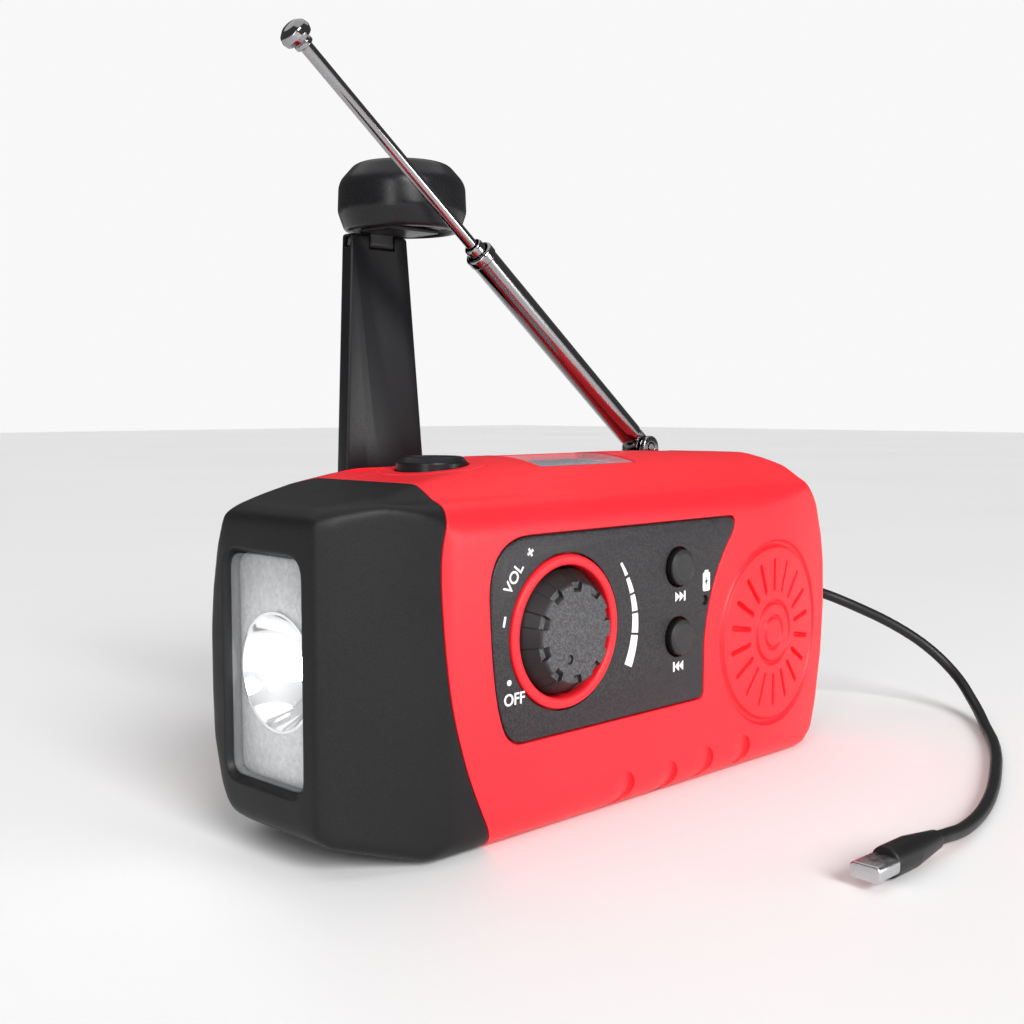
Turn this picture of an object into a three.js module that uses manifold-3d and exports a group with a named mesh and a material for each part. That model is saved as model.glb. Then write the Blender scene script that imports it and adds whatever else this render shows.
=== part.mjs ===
// Hand-crank emergency radio with a flashlight head, telescopic antenna, solar cell and charging lead.
// Millimetres, +Z up. Origin: centre of the underside. Front face looks along -Y, flashlight along -X.
import * as THREE from 'three';
import { mergeVertices } from 'three/addons/utils/BufferGeometryUtils.js';
import Module from 'manifold-3d';

// ---------- driving dimensions ----------
const GAP = 0.3; // clearance between touching pieces
const WALL = 2.2; // thickness of the moulded shells

// casing
const FRONT_Y = -22;
const BACK_Y = 20;
const RIGHT_X = 64;
const LEFT_X = -63.7;
const TOP_Z = 58.2;
const PARTING_Y = 5; // plane between the front and rear shells
const TAPER_START_X = -44; // the flashlight head narrows to the left of this
const CURVE_START_X = 30; // front and back curve inwards to the right of this

// front controls
const DIAL = { x: -20.7, z: 31.7, ring: 12.1, well: 10.4, base: 9.9, face: 7.6, faceY: -24.6 };
const BUTTON = { x: 7.6, radius: 3.1, hole: 3.5, travel: 0.8 };
const NEXT_Z = 39.4;
const PREVIOUS_Z = 27.4;
const PANEL_DEPTH = 1.2;
const INDICATOR = { x: 15.2, z: 32.9, radius: 0.7 };
const SPEAKER = { x: 36.9, z: 24.6, radius: 17.2, slots: 18, slotFrom: 6.2, slotTo: 13.6, slotWidth: 1.1 };

// top controls
const LAMP_BUTTON = { x: -28.3, y: 0.5, radius: 5.8, topZ: 58.6 };
const SOLAR = { x0: -11.5, x1: 13, y0: -7.8, y1: 7, topZ: 57.6 };

// flashlight head
const WINDOW = { y: -1.2, z: 28.4, width: 18.6, height: 34, corner: 3 };
const BOWL = { y: -1.8, z: 28, radius: 8.6 };

// crank and gear train, all turning about lines along Y
const CRANK = { x: -10.6, z: 25 };
const ARM_Y = [33.5, 36.5];
const ARM_TOP_Z = 98.2;
const ARM_FOOT = { x: -9.7, radius: 11.4 };
const KNOB = { x: -10, y: 29, z0: 99, z1: 110.9, radius: 11.8 };
const KNOB_HINGE = { y: 35, z: 96.7 };
const GEAR = { module: 0.9, wheelTeeth: 30, pinionTeeth: 10, extraCentre: 0.3 };
const LAYER_1 = [13.3, 15.4];
const LAYER_2 = [10.2, 12.3];

// antenna
const MAST = {
  x: 39, y: 12.5, z: 58.3, lean: 38, tubeLength: 58, rodLength: 108,
  tube: 2.45, collar: 2.75, middle: 1.75, rod: 1.07,
};

// charging lead
const SOCKET = { y: -2, z: 26.5 };
const CORD_RADIUS = 1.1;

// ---------- materials ----------
const redPlastic = { color: 0xe3192b, roughness: 0.45, metalness: 0 };
const blackPlastic = { color: 0x232326, roughness: 0.55, metalness: 0 };
const rubberBlack = { color: 0x1c1c1f, roughness: 0.8, metalness: 0 };
const chrome = { color: 0xd8d8da, roughness: 0.12, metalness: 1 };
const steel = { color: 0x9a9a9c, roughness: 0.35, metalness: 1 };
const whitePlastic = { color: 0xe8e6e0, roughness: 0.5, metalness: 0 };
const boardGreen = { color: 0x1c5c36, roughness: 0.5, metalness: 0 };
const clearPlastic = { color: 0xf2f4f6, roughness: 0.05, metalness: 0, transparent: true, opacity: 0.35 };
const copper = { color: 0xb87333, roughness: 0.4, metalness: 1 };
const blueFilm = { color: 0x1f4f9c, roughness: 0.4, metalness: 0 };
const solarBlue = { color: 0x1a2340, roughness: 0.25, metalness: 0 };
const ledWhite = { color: 0xfffdf0, roughness: 0.3, metalness: 0 };

// ---------- solids ----------
const wasm = await Module();
wasm.setup();

function solidOf(geometry) {
  const bare = geometry.clone();
  bare.deleteAttribute('normal');
  bare.deleteAttribute('uv');
  const merged = mergeVertices(bare, 1e-4);
  return new wasm.Manifold(new wasm.Mesh({
    numProp: 3,
    vertProperties: new Float32Array(merged.attributes.position.array),
    triVerts: new Uint32Array(merged.index.array),
  }));
}

function geometryOf(solid) {
  const mesh = solid.getMesh();
  const geometry = new THREE.BufferGeometry();
  geometry.setAttribute('position', new THREE.BufferAttribute(new Float32Array(mesh.vertProperties), 3));
  geometry.setIndex(new THREE.BufferAttribute(new Uint32Array(mesh.triVerts), 1));
  geometry.computeVertexNormals();
  return geometry;
}

const AXES = {
  x: [new THREE.Vector3(0, 1, 0), new THREE.Vector3(0, 0, 1), new THREE.Vector3(1, 0, 0)],
  y: [new THREE.Vector3(1, 0, 0), new THREE.Vector3(0, 0, 1), new THREE.Vector3(0, -1, 0)],
  z: [new THREE.Vector3(1, 0, 0), new THREE.Vector3(0, 1, 0), new THREE.Vector3(0, 0, 1)],
};

// A flat outline pushed along an axis. The outline is in (Y, Z) for x, (X, Z) for y and (X, Y) for z.
function prism(axis, outline, low, high) {
  const shape = outline instanceof THREE.Shape ? outline : new THREE.Shape(outline);
  const geometry = new THREE.ExtrudeGeometry(shape, {
    depth: high - low, bevelEnabled: false, curveSegments: 6, steps: 1,
  });
  geometry.applyMatrix4(new THREE.Matrix4().makeBasis(...AXES[axis]));
  const start = axis === 'y' ? high : low;
  geometry.translate(axis === 'x' ? start : 0, axis === 'y' ? start : 0, axis === 'z' ? start : 0);
  return solidOf(geometry);
}

// A turned solid: the profile is [radius, distance along the axis] from one end on the axis to the other.
function turned(axis, profile, centre, sides = 24) {
  const geometry = new THREE.LatheGeometry(profile.map(([r, d]) => new THREE.Vector2(r, d)), sides);
  if (axis === 'x') geometry.rotateZ(-Math.PI / 2);
  if (axis === 'z') geometry.rotateX(Math.PI / 2);
  geometry.translate(...centre);
  return solidOf(geometry);
}

function rod(axis, radius, low, high, centre, sides = 20) {
  return turned(axis, [[0, low], [radius, low], [radius, high], [0, high]], centre, sides);
}

function ring(axis, inner, outer, low, high, centre, sides = 24) {
  return turned(axis, [[inner, low], [outer, low], [outer, high], [inner, high], [inner, low]], centre, sides);
}

function block(x, y, z) {
  const geometry = new THREE.BoxGeometry(x[1] - x[0], y[1] - y[0], z[1] - z[0]);
  geometry.translate((x[0] + x[1]) / 2, (y[0] + y[1]) / 2, (z[0] + z[1]) / 2);
  return solidOf(geometry);
}

function roundedRectangle(cx, cy, width, height, radius) {
  const [x0, x1, y0, y1] = [cx - width / 2, cx + width / 2, cy - height / 2, cy + height / 2];
  const shape = new THREE.Shape();
  shape.moveTo(x0 + radius, y0);
  shape.lineTo(x1 - radius, y0);
  shape.absarc(x1 - radius, y0 + radius, radius, -Math.PI / 2, 0);
  shape.lineTo(x1, y1 - radius);
  shape.absarc(x1 - radius, y1 - radius, radius, 0, Math.PI / 2);
  shape.lineTo(x0 + radius, y1);
  shape.absarc(x0 + radius, y1 - radius, radius, Math.PI / 2, Math.PI);
  shape.lineTo(x0, y0 + radius);
  shape.absarc(x0 + radius, y0 + radius, radius, Math.PI, Math.PI * 1.5);
  return shape;
}

// ---------- outlines of the casing ----------
function quarterEllipse(cx, cy, rx, ry, fromDegrees, steps = 4) {
  return Array.from({ length: steps + 1 }, (_, i) => {
    const angle = THREE.MathUtils.degToRad(fromDegrees + (90 * i) / steps);
    return [cx + rx * Math.cos(angle), cy + ry * Math.sin(angle)];
  });
}

const inwards = (x) => Math.pow(Math.max(0, (TAPER_START_X - x) / 18), 1.2);
const frontEdge = (x) => FRONT_Y + 7.5 * inwards(x) + 0.0045 * Math.max(0, x - CURVE_START_X) ** 2;
const backEdge = (x) => BACK_Y - 6.5 * inwards(x) - 0.0085 * Math.max(0, x - CURVE_START_X) ** 2;
const crown = (y) => TOP_Z - 0.0125 * (y - 3) ** 2;

const planOutline = [
  [-62.6, frontEdge(-60.6) + 1.6], [-60.6, frontEdge(-60.6)], [-55, frontEdge(-55)], [-49, frontEdge(-49)],
  [TAPER_START_X, FRONT_Y], [CURVE_START_X, FRONT_Y], [44, frontEdge(44)],
  ...quarterEllipse(57, -11, 7, -11 - frontEdge(57), -90),
  ...quarterEllipse(57, 6, 7, backEdge(57) - 6, 0),
  [44, backEdge(44)], [CURVE_START_X, BACK_Y], [TAPER_START_X, BACK_Y], [-49, backEdge(-49)],
  [-55, backEdge(-55)], [-60.6, backEdge(-60.6)], [-62.6, backEdge(-60.6) - 1.6], [LEFT_X, -0.7],
];
const faceOutline = [
  [-62.7, 6.2], [-60.5, 4.4], [-50, 1.2], [-42, 0],
  ...quarterEllipse(57, 7, 6.4, 7, -90), [RIGHT_X, 28],
  ...quarterEllipse(52, 44.5, 11.6, 12.9, 0, 5),
  [20, TOP_Z], [-16, TOP_Z], [-46, 54.9], [-60.5, 52.6], [-62.7, 50.9], [LEFT_X - 0.1, 28],
];
const sideOutline = [
  ...quarterEllipse(15, 5, 5, 5, -90, 3),
  ...quarterEllipse(15.5, 50.5, 4.5, crown(15.5) - 50.5, 0, 3),
  [10, crown(10)], [3, TOP_Z], [-4, crown(-4)], [-11, crown(-11)],
  ...quarterEllipse(-17.5, 47.5, 4.5, crown(-17.5) - 47.5, 90, 4),
  ...quarterEllipse(-17, 5, 5, 5, 180, 3),
];

// Seen along the two diagonals of the plan, the upright corners bow inwards towards the top and the bottom.
const diagonalOutline = [
  [46, -0.1], [49.6, 1], [51.8, 3], [53.2, 8.8], [54.4, 17.8], [55, 28], [54.7, 36], [53.9, 41.9],
  [52.3, 47.9], [50.5, 50.9], [46.5, 54.9], [42.7, 56.4], [36, 58.3], [-22, 58.3],
  [-37.6, 55.5], [-43.4, 54.1], [-46.1, 53.1], [-48.6, 51.9], [-50.3, 50.7], [-51.6, 45.9], [-52.6, 39.2],
  [-53.3, 30], [-52.8, 16.5], [-51.5, 9.8], [-50.6, 7.4], [-49.1, 5.4], [-44.7, 3.4], [-32, -0.1],
];
const otherDiagonalOutline = [
  [43.1, -0.1], [46.7, 1], [48.9, 3], [50.3, 8.8], [51.6, 17.8], [52.1, 28], [51.9, 36], [51, 41.9],
  [49.4, 47.9], [47.9, 51], [45.5, 54.3], [42.5, 56.4], [38, 58.3], [-22, 58.3],
  [-38.3, 55.5], [-44.1, 54.1], [-46.8, 53.1], [-49.3, 51.9], [-51, 50.7], [-52.3, 45.9], [-53.3, 39.2],
  [-54, 30], [-53.5, 16.5], [-52.2, 9.8], [-51.3, 7.4], [-49.8, 5.4], [-45.4, 3.4], [-32.7, -0.1],
];

// Every corner of an outline drawn anticlockwise moves in by the same distance.
function shrunk(outline, distance) {
  const count = outline.length;
  return outline.map((point, i) => {
    const before = outline[(i + count - 1) % count];
    const after = outline[(i + 1) % count];
    const a = new THREE.Vector2(point[0] - before[0], point[1] - before[1]).normalize();
    const b = new THREE.Vector2(after[0] - point[0], after[1] - point[1]).normalize();
    const middle = a.clone().add(b).normalize();
    const stretch = distance / Math.max(0.5, middle.dot(a));
    return [point[0] - middle.y * stretch, point[1] + middle.x * stretch];
  });
}

function casing(inset) {
  const at = (outline) => shrunk(outline, inset).map(([a, b]) => new THREE.Vector2(a, b));
  return prism('z', at(planOutline), -5, 65)
    .intersect(prism('y', at(faceOutline), -30, 30))
    .intersect(prism('x', at(sideOutline), -70, 70))
    .intersect(prism('y', at(diagonalOutline), -90, 90).rotate([0, 0, -45]))
    .intersect(prism('y', at(otherDiagonalOutline), -90, 90).rotate([0, 0, 45]));
}

// The seam between the black head and the red casing bows to the left.
function seamOutline(shift) {
  const seam = [
    [-35.5, -1], [-36.6, 2], [-39.5, 8], [-42.3, 15], [-44.6, 24], [-45.9, 36], [-46, 46], [-44, 53], [-41, 60],
  ].map(([x, z]) => [x + shift, z]);
  return [[-80, -1], ...seam, [-80, 60]].map(([x, z]) => new THREE.Vector2(x, z));
}

const outer = casing(0);
const inner = casing(WALL);
const hollow = outer.subtract(inner);
const leftOfSeam = (shift) => prism('y', seamOutline(shift), -30, 30);

// ---------- the model ----------
const radio = new THREE.Group();
const antenna = new THREE.Group();
radio.add(antenna);

function add(name, solid, look, group = radio) {
  const mesh = new THREE.Mesh(geometryOf(solid), new THREE.MeshStandardMaterial(look));
  mesh.name = name;
  group.add(mesh);
  return mesh;
}

const SCREWS = [[-32, 7], [50, 9], [-38, 48.5], [49, 45]];
const screwFloor = (x) => backEdge(x) - 2.6; // depth of a counterbore at this X

// ----- front shell -----
function panelOutline(inset) {
  const shape = new THREE.Shape();
  const [left, right, low, high] = [-37.1 + inset, 24.4 - inset, 15.5 + inset, 47.4 - inset];
  shape.moveTo(left + 7, low);
  shape.lineTo(15.2 - inset - 1.5, low);
  shape.quadraticCurveTo(15.2 - inset, low, 15.2 - inset, low + 1.5);
  shape.lineTo(15.2 - inset, 25);
  shape.quadraticCurveTo(16.4 - inset, 36.5, right - 1.2, 44);
  shape.quadraticCurveTo(right + 0.6, high, right - 2.5, high);
  shape.lineTo(left + 9, high);
  shape.quadraticCurveTo(left, high, left, high - 9);
  shape.quadraticCurveTo(left + 0.6, 24, left + 2.4, low + 4);
  shape.quadraticCurveTo(left + 3.6, low, left + 7, low);
  return shape;
}

function speakerSlots() {
  const across = Array.from({ length: SPEAKER.slots }, (_, i) => {
    const slot = new THREE.BoxGeometry(SPEAKER.slotTo - SPEAKER.slotFrom, 12, SPEAKER.slotWidth);
    slot.translate((SPEAKER.slotTo + SPEAKER.slotFrom) / 2, 0, 0);
    slot.rotateY((2 * Math.PI * (i + 0.5)) / SPEAKER.slots);
    slot.translate(SPEAKER.x, FRONT_Y, SPEAKER.z);
    return solidOf(slot);
  });
  return across.reduce((all, slot) => all.add(slot));
}

const inFront = block([-80, 80], [-30, PARTING_Y - GAP / 2], [-5, 70]);
const screwPosts = (radius, low, high) => SCREWS
  .map(([x, z]) => rod('y', radius, low, high, [x, 0, z], 12))
  .reduce((all, post) => all.add(post));

function frontShell() {
  const dialRing = rod('y', DIAL.ring, -30, 0, [DIAL.x, 0, DIAL.z], 32);
  const recess = prism('y', panelOutline(0), -30, FRONT_Y + PANEL_DEPTH).subtract(dialRing);
  const buttonHoles = [NEXT_Z, PREVIOUS_Z]
    .map((z) => rod('y', BUTTON.hole, -30, -15, [BUTTON.x, 0, z], 16))
    .reduce((all, hole) => all.add(hole));
  return hollow
    .intersect(inFront)
    .add(screwPosts(3.2, -19.9, PARTING_Y - GAP / 2).intersect(outer))
    .subtract(leftOfSeam(GAP))
    .subtract(recess)
    .subtract(rod('y', DIAL.well, -30, -15, [DIAL.x, 0, DIAL.z], 32))
    .subtract(buttonHoles)
    .subtract(rod('y', INDICATOR.radius + GAP, -30, -15, [INDICATOR.x, 0, INDICATOR.z], 10))
    .subtract(speakerSlots())
    .subtract(screwPosts(1.6, -12, 20))
    .subtract(topCutouts());
}

// Openings in the top: the flashlight button, the solar window and the antenna's groove and pocket.
function topCutouts() {
  const buttonHole = rod('z', LAMP_BUTTON.radius + GAP, 50, 70, [LAMP_BUTTON.x, LAMP_BUTTON.y, 0], 24);
  const solarHole = block([SOLAR.x0 - GAP, SOLAR.x1 + GAP], [SOLAR.y0 - GAP, SOLAR.y1 + GAP], [54, 70]);
  return buttonHole.add(solarHole);
}

// ----- rear shell -----
function rearShell() {
  const behind = block([-80, 80], [PARTING_Y + GAP / 2, 60], [-5, 70]);
  const channelFloor = block([-39, 46], [8, 18.5], [52.2, 56]).intersect(outer);
  const pivotPost = rod('z', 6.8, 49, 54.2, [MAST.x, MAST.y, 0], 24).intersect(outer);
  const groove = block([-37, MAST.x], [MAST.y - 3.3, MAST.y + 3.3], [54.4, 70]);
  const pocket = rod('z', 6.6, 54.4, 70, [MAST.x, MAST.y, 0], 24);
  const counterbores = SCREWS
    .map(([x, z]) => rod('y', 2.6, screwFloor(x), 40, [x, 0, z], 12))
    .reduce((all, bore) => all.add(bore));
  return hollow
    .intersect(behind)
    .add(screwPosts(3.8, PARTING_Y + GAP / 2, 19).intersect(outer))
    .add(channelFloor)
    .add(pivotPost)
    .subtract(leftOfSeam(GAP))
    .subtract(groove)
    .subtract(pocket)
    .subtract(rod('z', 2.1, 40, 60, [MAST.x, MAST.y, 0], 16))
    .subtract(counterbores)
    .subtract(screwPosts(1.6, 0, 30))
    .subtract(rod('y', 4.8, 0, 30, [CRANK.x, 0, CRANK.z], 20))
    .subtract(topCutouts());
}

const socketHole = block([55, 80], [SOCKET.y - 7.2, SOCKET.y + 6.6], [SOCKET.z - 3.7, SOCKET.z + 3.7]);
add('front_shell', frontShell().subtract(socketHole), redPlastic);
add('rear_shell', rearShell(), redPlastic);

// ----- flashlight head -----
const windowShape = (inset) => roundedRectangle(
  WINDOW.y, WINDOW.z, WINDOW.width - 2 * inset, WINDOW.height - 2 * inset, WINDOW.corner - inset,
);
add('lamp_housing', hollow
  .add(outer.intersect(block([-60.8, -58.4], [-30, 30], [0, 60])))
  .intersect(leftOfSeam(0))
  .subtract(prism('x', windowShape(0), -80, -50)), rubberBlack);
add('lamp_lens', prism('x', windowShape(GAP), -62, -60.8), clearPlastic);

function reflector() {
  const bowl = [[0, 0], [3, 0.6], [6, 2.6], [BOWL.radius, 5.6], [BOWL.radius, 9], [0, 9]];
  const plate = prism('x', windowShape(GAP), -60.4, -54.2);
  return plate
    .subtract(turned('x', bowl.map(([r, d]) => [r, -d]).reverse(), [-54.8, BOWL.y, BOWL.z], 24))
    .subtract(rod('x', 1.9, -70, -50, [0, BOWL.y, BOWL.z], 12));
}
add('lamp_reflector', reflector(), chrome);
add('lamp_led', rod('x', 1.5, -58.4, -54, [0, BOWL.y, BOWL.z], 12)
  .add(rod('x', 2.6, -53.8, -53.2, [0, BOWL.y, BOWL.z], 12))
  .add(rod('x', 1.5, -54.1, -53.5, [0, BOWL.y, BOWL.z], 12)), ledWhite);
add('lamp_board', block([-52.9, -51.5], [-13, 11], [12, 46]), boardGreen);

// ----- controls on the front -----
const panelHoles = [
  rod('y', DIAL.ring + GAP, -30, 0, [DIAL.x, 0, DIAL.z], 32),
  rod('y', BUTTON.hole, -30, 0, [BUTTON.x, 0, NEXT_Z], 16),
  rod('y', BUTTON.hole, -30, 0, [BUTTON.x, 0, PREVIOUS_Z], 16),
  rod('y', INDICATOR.radius + GAP, -30, 0, [INDICATOR.x, 0, INDICATOR.z], 10),
];
add('front_panel', panelHoles.reduce(
  (plate, hole) => plate.subtract(hole),
  prism('y', panelOutline(GAP), FRONT_Y - 0.05, FRONT_Y + PANEL_DEPTH - GAP),
), blackPlastic);

function volumeDial() {
  const body = turned('y', [
    [0, -19.6], [DIAL.base, -19.6], [DIAL.base, -21.8], [DIAL.face + 0.4, DIAL.faceY + 0.4],
    [DIAL.face, DIAL.faceY], [0, DIAL.faceY],
  ].reverse(), [DIAL.x, 0, DIAL.z], 40);
  const notches = Array.from({ length: 10 }, (_, i) => {
    const notch = new THREE.BoxGeometry(6, 10, 1.7);
    notch.translate(DIAL.face - 1.1 + 3, DIAL.faceY - 4.4, 0);
    notch.rotateY((2 * Math.PI * i) / 10);
    notch.translate(DIAL.x, 0, DIAL.z);
    return solidOf(notch);
  });
  const stem = rod('y', 2.2, -19.7, -15, [DIAL.x, 0, DIAL.z], 12);
  return notches.reduce((all, notch) => all.subtract(notch), body).add(stem);
}
add('volume_dial', volumeDial(), rubberBlack);
add('volume_potentiometer', block([DIAL.x - 8, DIAL.x + 8], [-14.4, -7.4], [DIAL.z - 8, DIAL.z + 8]), steel);

[['next', NEXT_Z], ['previous', PREVIOUS_Z]].forEach(([name, z]) => {
  add(`${name}_button`, turned('y', [
    [0, -18.3], [4.6, -18.3], [4.6, -19.4], [BUTTON.radius, -19.4],
    [BUTTON.radius, -22.9], [2.2, -23.4], [0, -23.4],
  ].reverse(), [BUTTON.x, 0, z], 20), rubberBlack);
  add(`${name}_switch`, block([BUTTON.x - 3, BUTTON.x + 3], [-12, -7.4], [z - 3, z + 3])
    .add(rod('y', 1.6, -17.2, -11.9, [BUTTON.x, 0, z], 12)), steel);
});
add('charge_indicator', rod('y', INDICATOR.radius, -21.6, -16, [INDICATOR.x, 0, INDICATOR.z], 10), ledWhite);

// ----- speaker, boards, battery -----
add('speaker_driver', turned('y', [
  [0, -15.8], [13, -15.8], [15.4, -16.4], [16.4, -16.4], [16.4, -15], [9, -8.6], [9, -4.4], [0, -4.4],
], [SPEAKER.x, 0, SPEAKER.z], 28), steel);
add('main_board', block([-43, 17.5], [-7.1, -5.5], [11, 50]).subtract(screwPosts(3.8, -20, 10)), boardGreen);
add('battery_pack', block([-26, 16], [-15, 15], [2.8, 9.4]), blueFilm);

// ----- gear train -----
// Straight-sided teeth; one tooth points along the given angle in the X-Z plane.
function gearOutline(teeth, angle) {
  const pitch = (GEAR.module * teeth) / 2;
  const step = (2 * Math.PI) / teeth;
  const corners = [[-0.34, pitch - 0.95], [-0.15, pitch + 0.75], [0.15, pitch + 0.75], [0.34, pitch - 0.95]];
  return Array.from({ length: teeth }, (_, i) => corners.map(([offset, radius]) => {
    const at = angle + (i + offset) * step;
    return new THREE.Vector2(radius * Math.cos(at), radius * Math.sin(at));
  })).flat();
}

function gear(teeth, angle, layer, at) {
  const outline = gearOutline(teeth, angle).map((p) => new THREE.Vector2(p.x + at.x, p.y + at.z));
  return prism('y', outline, ...layer);
}

const CENTRES = (GEAR.module * (GEAR.wheelTeeth + GEAR.pinionTeeth)) / 2 + GEAR.extraCentre;
const placed = (from, degrees) => ({
  x: from.x + CENTRES * Math.cos(THREE.MathUtils.degToRad(degrees)),
  z: from.z + CENTRES * Math.sin(THREE.MathUtils.degToRad(degrees)),
});
const IDLER_ANGLE = 20;
const PINION_ANGLE = -25;
const IDLER = placed(CRANK, IDLER_ANGLE);
const ROTOR = placed(IDLER, PINION_ANGLE);

// A tooth of the small gears meets the gap between two teeth of the big one, so they are half a tooth round.
const { degToRad } = THREE.MathUtils;
const HALF_TOOTH = Math.PI / GEAR.pinionTeeth;
const idlerPinion = gear(
  GEAR.pinionTeeth, degToRad(IDLER_ANGLE + 180) + HALF_TOOTH, [LAYER_2[1] - 0.1, LAYER_1[1]], IDLER,
);
const rotorPinion = gear(GEAR.pinionTeeth, degToRad(PINION_ANGLE + 180) + HALF_TOOTH, LAYER_2, ROTOR);

add('drive_gear', gear(GEAR.wheelTeeth, degToRad(IDLER_ANGLE), LAYER_1, CRANK)
  .subtract(rod('y', 2.8, 0, 30, [CRANK.x, 0, CRANK.z], 16)), whitePlastic);
add('idler_gear', gear(GEAR.wheelTeeth, degToRad(PINION_ANGLE), LAYER_2, IDLER)
  .add(idlerPinion)
  .subtract(rod('y', 1.3, 0, 30, [IDLER.x, 0, IDLER.z], 12)), whitePlastic);
add('generator_pinion', rotorPinion
  .add(rod('y', 0.8, 1, LAYER_2[0] + 0.1, [ROTOR.x, 0, ROTOR.z], 12)), whitePlastic);
add('generator', rod('y', 9.5, -3.6, 6.9, [ROTOR.x, 0, ROTOR.z], 24)
  .subtract(rod('y', 1.1, 0.5, 8, [ROTOR.x, 0, ROTOR.z], 12)), steel);
add('gear_plate', block([-18, 32], [7.4, 8.8], [15, 41])
  .subtract(rod('y', 2.8, 0, 30, [CRANK.x, 0, CRANK.z], 16))
  .subtract(rod('y', 1.3, 0, 30, [IDLER.x, 0, IDLER.z], 12))
  .subtract(rod('y', 3, 0, 30, [ROTOR.x, 0, ROTOR.z], 12)), steel);
add('idler_pin', rod('y', 1, 6.4, 16.6, [IDLER.x, 0, IDLER.z], 12), steel);

// ----- crank -----
add('crank_bush', ring('y', 2.8, 4.5, 16.4, 20.4, [CRANK.x, 0, CRANK.z], 20), copper);
add('crank_shaft', rod('y', 2.5, 6.4, 20.6, [CRANK.x, 0, CRANK.z], 16), steel);
add('crank_hub', turned('y', [
  [0, 20.9], [12.5, 20.9], [12.5, 24.5], [9.5, 27], [9, ARM_Y[0] - GAP], [0, ARM_Y[0] - GAP],
], [CRANK.x, 0, CRANK.z], 28).subtract(rod('y', 1.6, 25, 40, [CRANK.x, 0, CRANK.z], 12)), blackPlastic);

function crankArm() {
  const shape = new THREE.Shape();
  shape.moveTo(ARM_FOOT.x - ARM_FOOT.radius, CRANK.z);
  shape.absarc(ARM_FOOT.x, CRANK.z, ARM_FOOT.radius, Math.PI, 2 * Math.PI);
  shape.lineTo(-5, ARM_TOP_Z);
  shape.lineTo(-18.2, ARM_TOP_Z);
  const slot = block([-14.2, -8], [30, 40], [KNOB_HINGE.z - 1.9, 110]);
  return prism('y', shape, ...ARM_Y)
    .subtract(slot)
    .subtract(rod('x', 1.1, -30, 10, [0, KNOB_HINGE.y, KNOB_HINGE.z], 10))
    .subtract(rod('y', 2, 30, 40, [CRANK.x, 0, CRANK.z], 12))
    .subtract(rod('y', 3.4, ARM_Y[1] - 1.2, 40, [CRANK.x, 0, CRANK.z], 16));
}
add('crank_arm', crankArm(), blackPlastic);
add('crank_screw', turned('y', [
  [0, 27], [1.3, 27], [1.3, ARM_Y[1] - 0.9], [3.1, ARM_Y[1] - 0.9], [2.8, ARM_Y[1] + 0.3], [0, ARM_Y[1] + 0.3],
], [CRANK.x, 0, CRANK.z], 12), steel);

// Folding bracket at the arm's end, with a lug between the arm's prongs and a plate under the knob.
const LUG_X = [-13.9, -8.3];
add('knob_bracket', block(LUG_X, [KNOB_HINGE.y - 1.5, KNOB_HINGE.y + 1.5], [KNOB_HINGE.z, 99.1])
  .add(rod('x', 1.5, ...LUG_X, [0, KNOB_HINGE.y, KNOB_HINGE.z], 12))
  .add(block([-17.2, -4.6], [24.4, 33], [98.3, 99.1]))
  .add(block(LUG_X, [32.8, 36.5], [98.3, 99.1]))
  .add(rod('z', 2.4, 98.9, 106, [KNOB.x, KNOB.y, 0], 14))
  .subtract(rod('z', 1.3, 100, 110, [KNOB.x, KNOB.y, 0], 10))
  .subtract(rod('x', 1.1, -30, 10, [0, KNOB_HINGE.y, KNOB_HINGE.z], 10)), blackPlastic);
add('knob_hinge_pin', rod('x', 0.8, -17.6, -5.6, [0, KNOB_HINGE.y, KNOB_HINGE.z], 10), steel);
add('crank_knob', turned('z', [
  [2.7, KNOB.z0 + 0.4], [9, KNOB.z0 + 0.4], [9.3, KNOB.z0], [10.4, KNOB.z0 + 0.2], [11.4, KNOB.z0 + 1.4],
  [KNOB.radius, KNOB.z0 + 3.4], [11.6, KNOB.z1 - 5.3], [10.8, KNOB.z1 - 3.3], [9.2, KNOB.z1 - 1.7],
  [7, KNOB.z1 - 0.7], [4.4, KNOB.z1], [4.4, 106.4], [2.7, 106.4], [2.7, KNOB.z0 + 0.4],
], [KNOB.x, KNOB.y, 0], 32), rubberBlack);
add('knob_screw', turned('z', [
  [0, 101], [1, 101], [1, 106.7], [4, 106.7], [4, 108.4], [0, 108.4],
], [KNOB.x, KNOB.y, 0], 14), steel);

// ----- top -----
add('lamp_button', turned('z', [
  [0, 52.6], [7.2, 52.6], [7.2, 53.6], [LAMP_BUTTON.radius, 53.6], [LAMP_BUTTON.radius, LAMP_BUTTON.topZ - 0.7],
  [LAMP_BUTTON.radius - 0.8, LAMP_BUTTON.topZ], [0, LAMP_BUTTON.topZ],
], [LAMP_BUTTON.x, LAMP_BUTTON.y, 0], 24), blackPlastic);
const SWITCH_HALF = 3;
const aroundButton = (centre) => [centre - SWITCH_HALF, centre + SWITCH_HALF];
add('lamp_switch', block(aroundButton(LAMP_BUTTON.x), aroundButton(LAMP_BUTTON.y), [48, 50.2])
  .add(rod('z', 1.5, 50.1, 51.6, [LAMP_BUTTON.x, LAMP_BUTTON.y, 0], 10)), steel);
const inSolarFrame = (low, high) => block([SOLAR.x0, SOLAR.x1], [SOLAR.y0, SOLAR.y1], [low, high]);
add('solar_window', inSolarFrame(SOLAR.topZ - 1, SOLAR.topZ), clearPlastic);
add('solar_cell', inSolarFrame(SOLAR.topZ - 3, SOLAR.topZ - 1 - GAP), solarBlue);

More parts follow.
